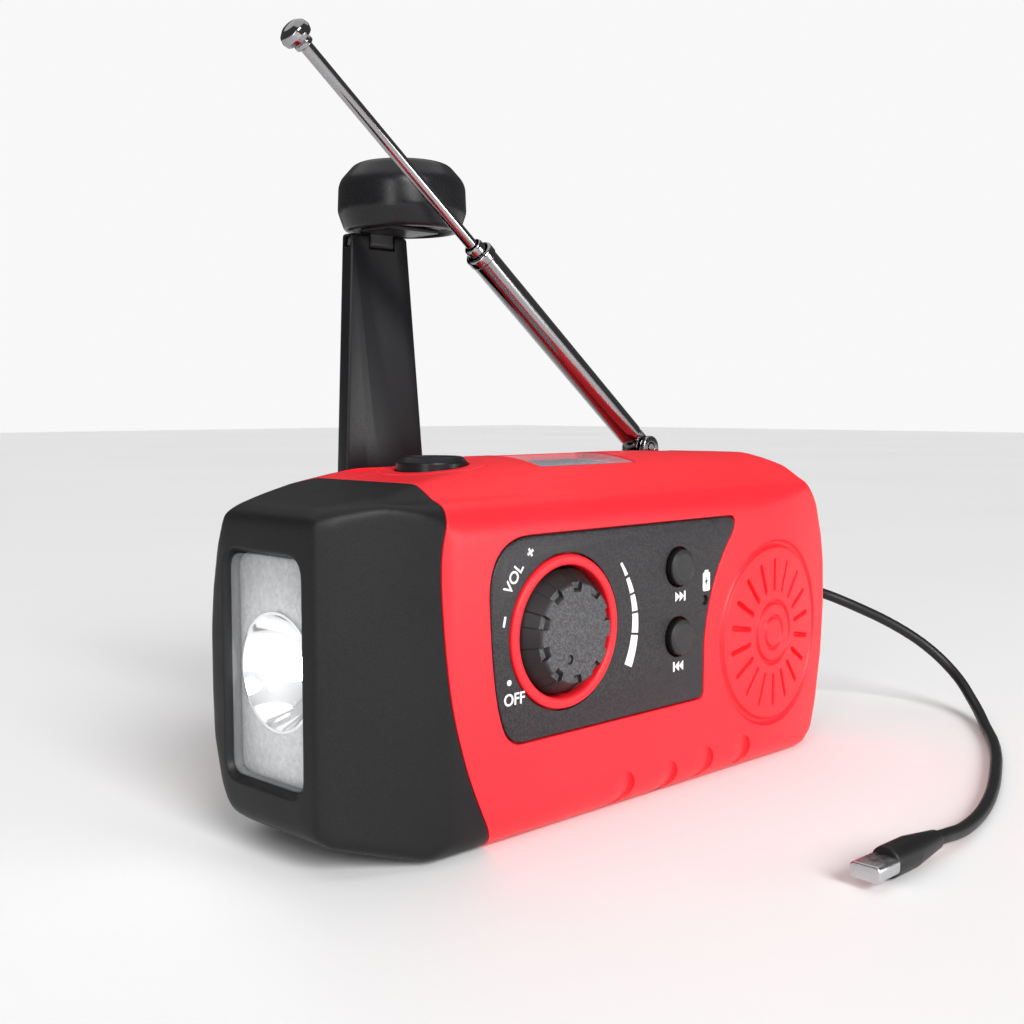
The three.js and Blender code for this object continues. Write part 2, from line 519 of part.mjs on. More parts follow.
// ----- antenna: built along +Z at the pivot, then leaned to the left -----
add('antenna_base', rod('z', 5.2, 54.7, 55.4, [MAST.x, MAST.y, 0], 20)
  .add(rod('z', 1.8, 46, 54.9, [MAST.x, MAST.y, 0], 14))
  .add(block([MAST.x - 2.3, MAST.x + 2.3], [MAST.y - 2.9, MAST.y - 1.7], [55.2, MAST.z]))
  .add(block([MAST.x - 2.3, MAST.x + 2.3], [MAST.y + 1.7, MAST.y + 2.9], [55.2, MAST.z]))
  .add(rod('y', 2.3, -2.9, -1.7, [MAST.x, MAST.y, MAST.z], 16))
  .add(rod('y', 2.3, 1.7, 2.9, [MAST.x, MAST.y, MAST.z], 16))
  .subtract(rod('y', 1.1, -5, 5, [MAST.x, MAST.y, MAST.z], 10)), chrome);
add('antenna_pin', rod('y', 0.8, -3, 3, [MAST.x, MAST.y, MAST.z], 10), chrome);

antenna.position.set(MAST.x, MAST.y, MAST.z);
antenna.rotation.y = -THREE.MathUtils.degToRad(90 - MAST.lean);
const upright = (profile, sides = 16) => turned('z', profile, [0, 0, 0], sides);
const tubeWall = (innerR, outerR, low, high) => upright([
  [innerR, low], [outerR, low], [outerR, high], [innerR, high], [innerR, low],
]);
add('antenna_outer_tube', tubeWall(MAST.middle + GAP, MAST.tube, 4.2, MAST.tubeLength)
  .add(upright([[0, 3.2], [MAST.tube, 3.2], [MAST.tube, 4.3], [0, 4.3]]))
  .add(tubeWall(MAST.middle + GAP, MAST.collar, MAST.tubeLength - 1.8, MAST.tubeLength))
  .add(block([-1.9, 1.9], [-1.4, 1.4], [0, 3.3]))
  .add(rod('y', 1.9, -1.4, 1.4, [0, 0, 0], 14))
  .subtract(rod('y', 1.1, -5, 5, [0, 0, 0], 10)), chrome, antenna);
add('antenna_middle_tube', tubeWall(MAST.rod + GAP, MAST.middle, 5, MAST.tubeLength - 0.4)
  .add(tubeWall(MAST.rod + GAP, MAST.middle, MAST.tubeLength - 0.6, MAST.tubeLength + 1.6)), chrome, antenna);
add('antenna_rod', upright([
  [0, MAST.tubeLength - 4], [MAST.rod, MAST.tubeLength - 4],
  [MAST.rod, MAST.rodLength - 3.4], [0, MAST.rodLength - 3.4],
], 12), chrome, antenna);
add('antenna_tip', upright([
  [0, -3.1], [1.55, -3.1], [1.55, -2.3], [1.3, -2.1], [2.35, -1.7], [2.6, -0.9], [2.35, 0.1],
  [1.4, 0.8], [0, 1],
].map(([r, d]) => [r, MAST.rodLength + d]), 16), chrome, antenna);

// ----- charging lead -----
add('charge_socket', block([56, 63.2], [SOCKET.y - 6.9, SOCKET.y + 6.3], [SOCKET.z - 3.4, SOCKET.z + 3.4])
  .subtract(block([57, 70], [SOCKET.y - 6, SOCKET.y + 6], [SOCKET.z - 2.4, SOCKET.z + 2.4])), steel);
add('usb_plug', block([58, 64.9], [SOCKET.y - 5.6, SOCKET.y + 5.6], [SOCKET.z - 2.1, SOCKET.z + 2.1])
  .add(block([64.8, 72], [SOCKET.y - 6.4, SOCKET.y + 6.4], [SOCKET.z - 3.4, SOCKET.z + 3.4]))
  .add(rod('x', 2, 71.9, 77, [0, SOCKET.y, SOCKET.z], 12)), blackPlastic);

// The cord leaves the plug along +X, drops in one bend and lies on the ground in front of the radio.
const CORD_POINTS = [
  [77.3, -2, 26.5], [80, -2.3, 26.3], [83.4, -4.2, 25.2], [87.6, -8, 22.9], [93.6, -12.6, 19.4],
  [98, -16.8, 15.9],
  [100.8, -20.3, 12.6], [102.2, -23.5, 9.4], [101.8, -26.9, 6.4], [99.3, -30.4, 3.9], [94.2, -34.8, 2.2],
  [86.4, -40, 1.4], [76.3, -46.4, 1.2], [66, -51.9, 1.2], [56, -56.5, 1.2], [46.4, -60.6, 1.2],
  [37.2, -64, 1.2],
  [28.2, -66.6, 1.2], [19.4, -68.4, 1.6], [13, -69, 2.3], [9.6, -69.1, 2.6],
].map((p) => new THREE.Vector3(...p));

function cord() {
  const section = new THREE.Shape();
  section.absarc(0, 0, CORD_RADIUS, 0, 2 * Math.PI);
  return new THREE.ExtrudeGeometry(section, {
    extrudePath: new THREE.CatmullRomCurve3(CORD_POINTS), steps: 40, curveSegments: 4, bevelEnabled: false,
  });
}
add('charge_cord', solidOf(cord()), rubberBlack);

// The phone connector lies at the cord's far end, pointing along -X.
const connector = new THREE.Group();
connector.position.set(9.6, -69.1, 2.6);
radio.add(connector);
add('device_connector', turned('x', [
  [0, -15], [2.4, -15], [2.4, -8.5], [1.5, -GAP], [0, -GAP],
], [0, 0, 0], 12)
  .add(block([-20.5, -14.8], [-2.4, 2.4], [-1.2, 1.2])), blackPlastic, connector);

SCREWS.forEach(([x, z], i) => {
  const seat = screwFloor(x) + GAP;
  add(`case_screw_${i + 1}`, turned('y', [
    [0, -8], [1.2, -8], [1.2, seat], [2.2, seat], [2, seat + 1.3], [0, seat + 1.3],
  ], [x, 0, z], 12), steel);
});

export default radio;
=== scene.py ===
import math

import bmesh
import bpy
import numpy as np
from mathutils import Euler, Matrix, Vector
from mathutils.bvhtree import BVHTree


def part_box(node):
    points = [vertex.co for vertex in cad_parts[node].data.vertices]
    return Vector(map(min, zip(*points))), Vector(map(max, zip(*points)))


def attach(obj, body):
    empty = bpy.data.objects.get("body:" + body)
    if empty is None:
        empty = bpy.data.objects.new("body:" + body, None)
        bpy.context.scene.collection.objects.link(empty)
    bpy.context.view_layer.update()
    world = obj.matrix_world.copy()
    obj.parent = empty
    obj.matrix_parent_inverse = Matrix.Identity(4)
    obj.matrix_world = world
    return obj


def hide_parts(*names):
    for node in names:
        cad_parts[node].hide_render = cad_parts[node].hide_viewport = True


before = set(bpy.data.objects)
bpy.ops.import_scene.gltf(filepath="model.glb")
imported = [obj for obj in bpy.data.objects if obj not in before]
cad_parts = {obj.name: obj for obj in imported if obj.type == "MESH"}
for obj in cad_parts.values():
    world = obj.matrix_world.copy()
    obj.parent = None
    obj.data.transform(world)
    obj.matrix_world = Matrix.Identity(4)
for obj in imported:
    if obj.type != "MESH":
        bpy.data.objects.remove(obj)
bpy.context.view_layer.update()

MM = 0.001
TAU = 2 * math.pi

# ---------- camera, light and floor ----------
CAMERA_PLACE = (-172.35, -161.91, 66.83)
CAMERA_YAW, CAMERA_PITCH = 45.0, -4.572
CAMERA_LENS = 47.04

scene = bpy.context.scene
scene.view_settings.view_transform = "Standard"


def linked(name, data):
    """An object of the scene that shows the data."""
    obj = bpy.data.objects.new(name, data)
    scene.collection.objects.link(obj)
    return obj


yaw, pitch = math.radians(CAMERA_YAW), math.radians(CAMERA_PITCH)
camera = linked("camera", bpy.data.cameras.new("camera"))
camera.location = Vector(CAMERA_PLACE) * MM
looking = Vector((math.cos(pitch) * math.sin(yaw), math.cos(pitch) * math.cos(yaw), math.sin(pitch)))
camera.rotation_euler = looking.to_track_quat("-Z", "Y").to_euler()
camera.data.lens = CAMERA_LENS
camera.data.sensor_width = 36
camera.data.clip_start = 0.005
scene.camera = camera


def area_light(name, place, target, size, watts):
    light = bpy.data.lights.new(name, "AREA")
    light.shape, light.size, light.size_y = "RECTANGLE", size[0] * MM, size[1] * MM
    light.energy = watts
    lamp = linked(name, light)
    lamp.location = Vector(place) * MM
    lamp.rotation_euler = (Vector(target) - Vector(place)).to_track_quat("-Z", "Y").to_euler()


def far_light(name, from_way, strength, degrees):
    """Soft round light far away, which falls evenly on the object and the whole floor."""
    lamp = linked(name, bpy.data.lights.new(name, "SUN"))
    lamp.data.energy, lamp.data.angle = strength, math.radians(degrees)
    lamp.rotation_euler = Vector(from_way).to_track_quat("Z", "Y").to_euler()


far_light("key", (-0.3, -0.85, 0.52), 3.3, 30)
far_light("overhead", (0.1, 0.25, 1), 1.0, 80)
area_light("strip", (-520, -260, 190), (-40, 0, 50), (110, 420), 0.9)
area_light("panel", (240, -420, 60), (-20, -22, 30), (120, 100), 0.4)


def studio():
    """Pale backdrop to the eye; dim, nearly even walls to the object, slightly brighter overhead."""
    made = bpy.data.worlds.new("studio")
    made.use_nodes = True
    tree = made.node_tree
    shader = tree.nodes["Background"]
    place = tree.nodes.new("ShaderNodeTexCoord")
    axes = tree.nodes.new("ShaderNodeSeparateXYZ")
    band = tree.nodes.new("ShaderNodeValToRGB")
    path = tree.nodes.new("ShaderNodeLightPath")
    choice = tree.nodes.new("ShaderNodeMix")
    choice.data_type = "RGBA"
    stops = band.color_ramp.elements
    stops[0].position, stops[0].color = 0.05, (0.09, 0.09, 0.09, 1)
    stops[1].position, stops[1].color = 0.6, (0.1, 0.1, 0.1, 1)
    for a, b in ((place.outputs["Generated"], axes.inputs[0]), (axes.outputs["Z"], band.inputs[0]),
                 (path.outputs["Is Camera Ray"], choice.inputs[0]), (band.outputs[0], choice.inputs[6]),
                 (choice.outputs[2], shader.inputs["Color"])):
        tree.links.new(a, b)
    choice.inputs[7].default_value = (0.94, 0.94, 0.94, 1)
    return made


scene.world = studio()


# ---------- materials ----------
class Nodes:
    """A short way to write a node tree: each call adds a node and links or sets its sockets."""

    def __init__(self, name):
        self.material = bpy.data.materials.new(name)
        self.material.use_nodes = True
        self.tree = self.material.node_tree
        self.tree.nodes.clear()

    def add(self, kind, settings=None, **inputs):
        node = self.tree.nodes.new(kind)
        for key, value in (settings or {}).items():
            setattr(node, key, value)
        for key, value in inputs.items():
            socket = node.inputs[int(key[1:])] if key[0] == "i" and key[1:].isdigit() else node.inputs[key]
            if isinstance(value, bpy.types.NodeSocket):
                self.tree.links.new(value, socket)
            else:
                socket.default_value = value
        return node

    def place(self):
        return self.add("ShaderNodeTexCoord").outputs["Object"]

    def stretched(self, scale):
        return self.add("ShaderNodeMapping", i0=self.place(), i3=scale).outputs[0]

    def noise(self, scale, detail=3.0, roughness=0.55, where=None):
        node = self.add("ShaderNodeTexNoise", i0=where or self.place(), Scale=scale, Detail=detail,
                        Roughness=roughness)
        return node.outputs["Fac"]

    def cells(self, scale, feature="F1"):
        node = self.add("ShaderNodeTexVoronoi", {"feature": feature}, i0=self.place(), Scale=scale)
        return node.outputs["Distance"]

    def span(self, value, low, high, from_low=0.3, from_high=0.7):
        node = self.add("ShaderNodeMapRange", i0=value, i1=from_low, i2=from_high, i3=low, i4=high)
        return node.outputs[0]

    def mix(self, factor, a, b):
        node = self.add("ShaderNodeMix", {"data_type": "RGBA"}, i0=factor)
        for socket, value in ((node.inputs[6], a), (node.inputs[7], b)):
            if isinstance(value, bpy.types.NodeSocket):
                self.tree.links.new(value, socket)
            else:
                socket.default_value = (*value, 1)
        return node.outputs[2]

    def math(self, operation, a, b=0.0, clamp=False):
        return self.add("ShaderNodeMath", {"operation": operation, "use_clamp": clamp}, i0=a, i1=b).outputs[0]

    def rounded_normal(self, radius):
        return self.add("ShaderNodeBevel", {"samples": 6}, Radius=radius * MM).outputs[0]

    def edges(self, radius):
        """0 on open faces and up to 1 along outer edges, for wear."""
        soft = self.rounded_normal(radius)
        true = self.add("ShaderNodeNewGeometry").outputs["Normal"]
        dot = self.add("ShaderNodeVectorMath", {"operation": "DOT_PRODUCT"}, i0=soft, i1=true)
        worn = self.math("MULTIPLY", self.math("SUBTRACT", 1.0, dot.outputs["Value"]), 4.0, clamp=True)
        return self.math("MULTIPLY", worn, self.span(self.noise(420), 0.2, 1.0), clamp=True)

    def bump(self, height, strength, distance, normal=None):
        node = self.add("ShaderNodeBump", Strength=strength, Distance=distance * MM, Height=height)
        if normal is not None:
            self.tree.links.new(normal, node.inputs["Normal"])
        return node.outputs[0]

    def done(self, base, rough, **sockets):
        shader = self.add("ShaderNodeBsdfPrincipled", **{"Base Color": base, "Roughness": rough, **sockets})
        out = self.add("ShaderNodeOutputMaterial")
        self.tree.links.new(shader.outputs[0], out.inputs["Surface"])
        return self.material


def scaled(colour, gain, lift=0.0):
    return tuple(min(1, c * gain + lift) for c in colour)


def moulded(name, colour, roughness, grain=2600, depth=0.02, strength=0.25, drift=0.1, wear=0.25, bevel=0.3,
            **more):
    """Moulded plastic or rubber: slow colour drift, spark-eroded grain, paler and smoother worn edges."""
    n = Nodes(name)
    slow, fine = n.noise(35, 2), n.noise(grain, 3)
    base = n.mix(n.span(slow, 0, 1), scaled(colour, 1 - drift), scaled(colour, 1 + drift, 0.002))
    worn = n.edges(bevel)
    base = n.mix(n.math("MULTIPLY", worn, wear), base, scaled(colour, 1.15, 0.03))
    rough = n.math("ADD", n.span(fine, roughness - 0.05, roughness + 0.05), n.math("MULTIPLY", worn, -0.08))
    normal = n.bump(fine, strength, depth, n.rounded_normal(bevel))
    return n.done(base, rough, Normal=normal, **more)


def leather_rubber(name, colour):
    """Soft-touch rubber with a fine leather-like grain."""
    n = Nodes(name)
    wrinkle = n.cells(1700, "DISTANCE_TO_EDGE")
    pebble = n.math("MINIMUM", wrinkle, 0.35)
    fine = n.noise(3200, 2)
    height = n.math("ADD", n.math("MULTIPLY", pebble, 1.6), n.math("MULTIPLY", fine, 0.35))
    slow = n.noise(30, 3)
    base = n.mix(n.span(slow, 0, 1), scaled(colour, 0.85), scaled(colour, 1.2))
    base = n.mix(n.span(wrinkle, 0.6, 0.0, 0.0, 0.12), base, scaled(colour, 0.6))
    worn = n.edges(0.6)
    base = n.mix(n.math("MULTIPLY", worn, 0.35), base, scaled(colour, 2.2, 0.006))
    rough = n.span(n.noise(90, 4), 0.4, 0.52)
    normal = n.bump(height, 0.3, 0.04, n.rounded_normal(0.6))
    return n.done(base, rough, Normal=normal, **{"Specular IOR Level": 0.22})


def speckled(name, dark, pale, roughness, scale=3800, strength=0.4, depth=0.03, painted_flank_shade=None):
    """Sand-textured plastic with pale specks. Its flanks may be given a painted shade, darker than its face."""
    n = Nodes(name)
    fine, coarse = n.noise(scale, 2, 0.7), n.noise(scale * 0.45, 2)
    grain = n.math("ADD", n.math("MULTIPLY", fine, 0.65), n.math("MULTIPLY", coarse, 0.35))
    base = n.mix(n.span(grain, 0, 1, 0.44, 0.6), dark, pale)
    base = n.mix(n.span(n.noise(45, 2), 0, 0.35), base, scaled(dark, 1.3))
    worn = n.edges(0.25)
    base = n.mix(n.math("MULTIPLY", worn, 0.4), base, scaled(pale, 1.3, 0.015))
    # Painted shade: every face turned away from the front takes the darker flank colour.
    if painted_flank_shade:
        facing = n.add("ShaderNodeTexCoord").outputs["Normal"]
        forward = n.add("ShaderNodeSeparateXYZ", i0=facing).outputs["Y"]
        base = n.mix(n.span(forward, 0, 1, -0.9, -0.6), base, painted_flank_shade)
    rough = n.span(coarse, roughness - 0.07, roughness + 0.08)
    normal = n.bump(grain, strength, depth, n.rounded_normal(0.25))
    return n.done(base, rough, Normal=normal, **{"Specular IOR Level": 0.35})


def metal(name, colour, roughness, brushed=(1, 1, 1), scale=900, strength=0.05, depth=0.01, bevel=0.15):
    """Metal with drawn or turned marks and faint handling smudges."""
    n = Nodes(name)
    marks = n.noise(scale, 2, 0.6, n.stretched(brushed))
    smudge = n.noise(140, 4, 0.6)
    base = n.mix(n.span(smudge, 0, 1), scaled(colour, 0.93), scaled(colour, 1.03))
    rough = n.math("ADD", n.span(marks, roughness * 0.7, roughness * 1.3),
                   n.span(smudge, -0.01, 0.05, 0.5, 0.75))
    normal = n.bump(marks, strength, depth, n.rounded_normal(bevel))
    return n.done(base, rough, Normal=normal, Metallic=1.0)


def clear(name, tint, alpha, scratches=0.3):
    """Clear moulded window: mostly see-through, with dust and hairline scratches in its gloss."""
    n = Nodes(name)
    dust = n.noise(1800, 3, 0.7)
    fine = n.noise(700, 2, 0.6, n.stretched((1, 0.15, 2.5)))
    rough = n.span(fine, 0.03, 0.03 + 0.1 * scratches, 0.45, 0.75)
    see = n.span(dust, alpha, alpha + 0.1, 0.55, 0.8)
    base = n.mix(n.span(dust, 0, 1), tint, scaled(tint, 1.05))
    normal = n.bump(fine, 0.05, 0.01)
    return n.done(base, rough, Alpha=see, Normal=normal, **{"Specular IOR Level": 0.8})


def glowing(name, colour, strength):
    """Phosphor-coated LED, brighter at its middle grains."""
    n = Nodes(name)
    grain = n.noise(2600, 2)
    light = n.span(grain, strength * 0.9, strength * 1.1)
    base = n.mix(n.span(grain, 0, 1), colour, (1, 1, 1))
    return n.done(base, 0.4, **{"Emission Color": base, "Emission Strength": light})


def solar_face(name):
    """Polycrystalline cell: blue flakes with silver fingers and two bus bars."""
    n = Nodes(name)
    flakes = n.add("ShaderNodeTexVoronoi", i0=n.place(), Scale=260).outputs["Color"]
    shade = n.add("ShaderNodeSeparateColor", i0=flakes).outputs[0]
    base = n.mix(shade, (0.006, 0.012, 0.04), (0.02, 0.035, 0.1))
    axes = n.add("ShaderNodeSeparateXYZ", i0=n.place())
    finger = n.math("LESS_THAN", n.math("PINGPONG", axes.outputs["X"], 0.6 * MM), 0.07 * MM)
    bar = n.math("LESS_THAN", n.math("PINGPONG", axes.outputs["Y"], 2.6 * MM), 0.25 * MM)
    silver = n.math("MAXIMUM", finger, bar)
    base = n.mix(silver, base, (0.42, 0.43, 0.45))
    rough = n.span(n.noise(500), 0.12, 0.25)
    normal = n.bump(silver, 0.2, 0.02)
    return n.done(base, rough, Normal=normal, **{"Coat Weight": 1.0, "Coat Roughness": 0.05})


def board_green(name):
    """Circuit board: solder mask with copper tracks showing faintly through it."""
    n = Nodes(name)
    tracks = n.math("LESS_THAN", n.math("PINGPONG", n.cells(260, "F1"), 0.12), 0.03)
    base = n.mix(n.math("MULTIPLY", tracks, 0.5), (0.01, 0.12, 0.045), (0.05, 0.3, 0.12))
    normal = n.bump(tracks, 0.2, 0.03)
    return n.done(base, n.span(n.noise(600), 0.3, 0.45), Normal=normal)


def silver_texture(name):
    """Vacuum-metallised plastic with a fine sand texture."""
    n = Nodes(name)
    grain = n.noise(1300, 3, 0.75)
    base = n.mix(n.span(grain, 0, 1), (0.55, 0.56, 0.58), (0.86, 0.87, 0.88))
    rough = n.span(grain, 0.28, 0.5)
    return n.done(base, rough, Metallic=0.75, Normal=n.bump(grain, 0.5, 0.06))


DULL = {"Specular IOR Level": 0.3}
RED = moulded("red_plastic", (0.9, 0.016, 0.027), 0.4, 2200, strength=0.12, drift=0.05, wear=0.3, bevel=0.35,
              **{"Specular IOR Level": 0.4})
BLACK_RUBBER = leather_rubber("head_rubber", (0.0105, 0.0105, 0.0115))
BLACK = moulded("black_plastic", (0.006, 0.006, 0.0075), 0.34, grain=2600, strength=0.12, drift=0.15, **DULL)
GRIP = moulded("grip_plastic", (0.009, 0.009, 0.0105), 0.3, grain=2000, strength=0.15, drift=0.15, bevel=0.5,
               **DULL)
# The dial's dark flank colour is painted shade on its notch walls and side.
DIAL_SKIN = speckled("dial_plastic", (0.045, 0.044, 0.047), (0.12, 0.12, 0.125), 0.5,
                     painted_flank_shade=(0.011, 0.009, 0.01))
PANEL_SKIN = speckled("panel_plastic", (0.015, 0.013, 0.015), (0.045, 0.042, 0.045), 0.42)
# The buttons' near-black flank colour is painted shade on the caps' side walls.
BUTTON_SKIN = speckled("button_rubber", (0.022, 0.021, 0.022), (0.035, 0.034, 0.035), 0.45, strength=0.2,
                       painted_flank_shade=(0.003, 0.003, 0.003))
CORD_SKIN = moulded("cord_jacket", (0.008, 0.008, 0.009), 0.42, grain=3000, strength=0.2, bevel=0.1, **DULL)
WHITE_INK = moulded("white_ink", (0.85, 0.85, 0.84), 0.45, grain=3400, strength=0.1, drift=0.04, bevel=0.03)
WHITE = moulded("white_nylon", (0.78, 0.76, 0.7), 0.45, grain=1800, strength=0.15)
CHROME = metal("chrome", (0.36, 0.35, 0.36), 0.1, (1, 1, 0.1), 1500, 0.006, 0.004)
STEEL = metal("steel", (0.56, 0.56, 0.58), 0.3, (1, 1, 6), 800, 0.12, 0.02)
BRASS = metal("brass", (0.72, 0.5, 0.2), 0.28, (1, 6, 1), 800, 0.12, 0.02)
BOWL_CHROME = metal("reflector_chrome", (0.92, 0.92, 0.93), 0.09, (1, 1, 1), 420, 0.12, 0.05)
LENS_CLEAR = clear("lens_clear", (0.9, 0.92, 0.94), 0.1)
SOLAR_CLEAR = clear("solar_clear", (0.75, 0.8, 0.85), 0.2)
SILVER = silver_texture("silver_texture")
SOLAR = solar_face("solar_cells")
BOARD = board_green("board")
FILM = moulded("battery_film", (0.02, 0.09, 0.4), 0.3, grain=900, strength=0.1)
LED = glowing("led", (1, 0.98, 0.94), 30)
INDICATOR = moulded("indicator", (0.02, 0.012, 0.012), 0.22, grain=1800, strength=0.05)


# ---------- solids ----------
def raw(name, verts, faces):
    mesh = bpy.data.meshes.new(name)
    mesh.from_pydata([tuple(map(float, v)) for v in verts], [], faces)
    mesh.validate()
    return linked(name, mesh)


def outward(obj):
    """Turns every face so that it looks out of its closed solid."""
    bm = bmesh.new()
    bm.from_mesh(obj.data)
    bmesh.ops.recalc_face_normals(bm, faces=bm.faces)
    bm.to_mesh(obj.data)
    bm.free()
    return obj


def to_axis(axis, a, b, along):
    return {"x": (along, a, b), "y": (a, along, b), "z": (a, b, along)}[axis]


def grid_solid(name, rings, wrap_rings=False):
    """Closed solid from equal rings of points, joined in order and capped unless they come full circle."""
    count, size = len(rings), len(rings[0])
    verts = [p for ring in rings for p in ring]
    faces = []
    for i in range(count if wrap_rings else count - 1):
        a, b = i * size, ((i + 1) % count) * size
        faces += [(a + k, a + (k + 1) % size, b + (k + 1) % size, b + k) for k in range(size)]
    if not wrap_rings:
        faces += [tuple(range(size))[::-1], tuple(range((count - 1) * size, count * size))]
    return outward(raw(name, verts, faces))


def turned(name, axis, line, centre=(0, 0, 0), sides=96, closed=False):
    """Turned solid from (radius, distance along axis). An end on the axis is closed by a small flat."""
    tiny = 0.01
    rings = []
    for radius, along in line:
        r = max(radius, tiny)
        ring = [to_axis(axis, r * math.cos(TAU * k / sides), r * math.sin(TAU * k / sides), along)
                for k in range(sides)]
        rings.append([tuple(np.add(p, centre)) for p in ring])
    return grid_solid(name, rings, wrap_rings=closed)


def rounded(corners, closed=True, steps=6):
    """Fillets a polyline whose corners are (a, b) or (a, b, radius)."""
    out, count = [], len(corners)
    for i, corner in enumerate(corners):
        p, radius = Vector(corner[:2]), (corner[2] if len(corner) > 2 else 0)
        if radius <= 0 or (not closed and i in (0, count - 1)):
            out.append(tuple(p))
            continue
        u = Vector(corners[i - 1][:2]) - p
        v = Vector(corners[(i + 1) % count][:2]) - p
        half = u.angle(v) / 2
        reach = min(radius / math.tan(half), 0.499 * u.length, 0.499 * v.length)
        start, end = p + u.normalized() * reach, p + v.normalized() * reach
        for k in range(steps + 1):
            t = k / steps
            out.append(tuple((1 - t) ** 2 * start + 2 * t * (1 - t) * p + t * t * end))
    return out


def filleted(*corners, steps=6):
    """Open line whose corners (a, b, radius) are filleted."""
    return rounded(corners, closed=False, steps=steps)


def inset(outline, distance):
    """Every point of an anticlockwise outline moves in by the same distance."""
    pts = np.array(outline, float)
    before, after = np.roll(pts, 1, 0), np.roll(pts, -1, 0)
    a, b = pts - before, after - pts
    a /= np.linalg.norm(a, axis=1)[:, None] + 1e-12
    b /= np.linalg.norm(b, axis=1)[:, None] + 1e-12
    middle = a + b
    middle /= np.linalg.norm(middle, axis=1)[:, None] + 1e-12
    stretch = distance / np.maximum(0.5, (middle * a).sum(1))
    return np.stack([pts[:, 0] - middle[:, 1] * stretch, pts[:, 1] + middle[:, 0] * stretch], 1)


def anticlockwise(outline):
    pts = np.array(outline, float)
    after = np.roll(pts, -1, 0)
    area = (pts[:, 0] * after[:, 1] - after[:, 0] * pts[:, 1]).sum()
    return pts if area > 0 else pts[::-1]


def plate(name, axis, outline, low, high, edge=0.0, low_edge=None, steps=3):
    """Prism of an outline with rounded rims of radius edge."""
    pts = anticlockwise(outline)
    low_edge = edge if low_edge is None else low_edge
    turns = [math.pi / 2 * k / steps for k in range(steps + 1)]
    levels = [(0, low)]
    if low_edge:
        levels = [(low_edge * (1 - math.sin(t)), low + low_edge * (1 - math.cos(t))) for t in turns]
    if edge:
        levels += [(edge * (1 - math.cos(t)), high - edge * (1 - math.sin(t))) for t in turns]
    else:
        levels.append((0, high))
    rings = [[to_axis(axis, a, b, along) for a, b in inset(pts, into)] for into, along in levels]
    return grid_solid(name, rings)


def box(name, x, y, z, corner=0.0, edge=0.0, axis="z"):
    """Block with rounded upright corners and rims."""
    sides = {"x": (y, z, x), "y": (x, z, y), "z": (x, y, z)}[axis]
    (a0, a1), (b0, b1), (low, high) = sides
    corners = [(a0, b0, corner), (a1, b0, corner), (a1, b1, corner), (a0, b1, corner)]
    return plate(name, axis, rounded(corners) if corner else corners, low, high, edge)


def rod(name, axis, radius, low, high, centre, edge=0.0, sides=48):
    ends = filleted((0, low), (radius, low, edge), (radius, high, edge), (0, high), steps=4)
    return turned(name, axis, ends, centre, sides)


def baked(obj):
    """The object with its modifiers applied."""
    depsgraph = bpy.context.evaluated_depsgraph_get()
    mesh = bpy.data.meshes.new_from_object(obj.evaluated_get(depsgraph))
    obj.modifiers.clear()
    obj.data = mesh
    return obj


def combine(operation, obj, *others, keep=()):
    for other in others:
        step = obj.modifiers.new("step", "BOOLEAN")
        step.object, step.operation, step.solver = other, operation, "MANIFOLD"
    baked(obj)
    for other in others:
        if other not in keep:
            bpy.data.objects.remove(other)
    return obj


def cut(obj, *cutters, keep=()):
    return combine("DIFFERENCE", obj, *cutters, keep=keep)


def fuse(obj, *others):
    return combine("UNION", obj, *others)


def copy_of(obj, name):
    return linked(name, obj.data.copy())


def joined(name, *objs):
    """One object from several separate solids."""
    verts, faces = [], []
    for o in objs:
        start = len(verts)
        verts += [tuple(o.matrix_world @ v.co) for v in o.data.vertices]
        faces += [tuple(start + i for i in p.vertices) for p in o.data.polygons]
        bpy.data.objects.remove(o)
    return raw(name, verts, faces)


def piece(obj, name, material, body, stands_for=(), crease=32):
    """Finishes a piece: metres, smooth shading with creases, material, CAD body, and hides the CAD nodes it
    stands for.
    """
    obj.name = name
    obj.data.transform(Matrix.Scale(MM, 4))
    obj.data.shade_smooth()
    obj.data.set_sharp_from_angle(angle=math.radians(crease))
    obj.data.materials.clear()
    obj.data.materials.append(material)
    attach(obj, body)
    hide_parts(*stands_for)
    return obj


# ---------- casing ----------
WALL, GAP = 2.2, 0.3
FRONT_Y, PARTING_Y, TOP_Z = -22.0, 5.0, 58.2
VOXEL = 0.5
SOFTENING = 22  # smoothing passes on the casing's edges


def inwards(x):
    return max(0.0, (-44 - x) / 18) ** 1.2


def front_edge(x):
    return FRONT_Y + 7.5 * inwards(x) + 0.0045 * max(0.0, x - 30) ** 2


def back_edge(x):
    return 20 - 6.5 * inwards(x) - 0.0085 * max(0.0, x - 30) ** 2


def crown(y):
    return TOP_Z - 0.0125 * (y - 3) ** 2


def quarter(cx, cy, rx, ry, start, steps=16):
    angles = [math.radians(start + 90 * k / steps) for k in range(steps + 1)]
    return [(cx + rx * math.cos(a), cy + ry * math.sin(a)) for a in angles]


def span(start, end, step=2.0):
    count = max(2, round(abs(end - start) / step))
    return [start + (end - start) * k / count for k in range(count + 1)]


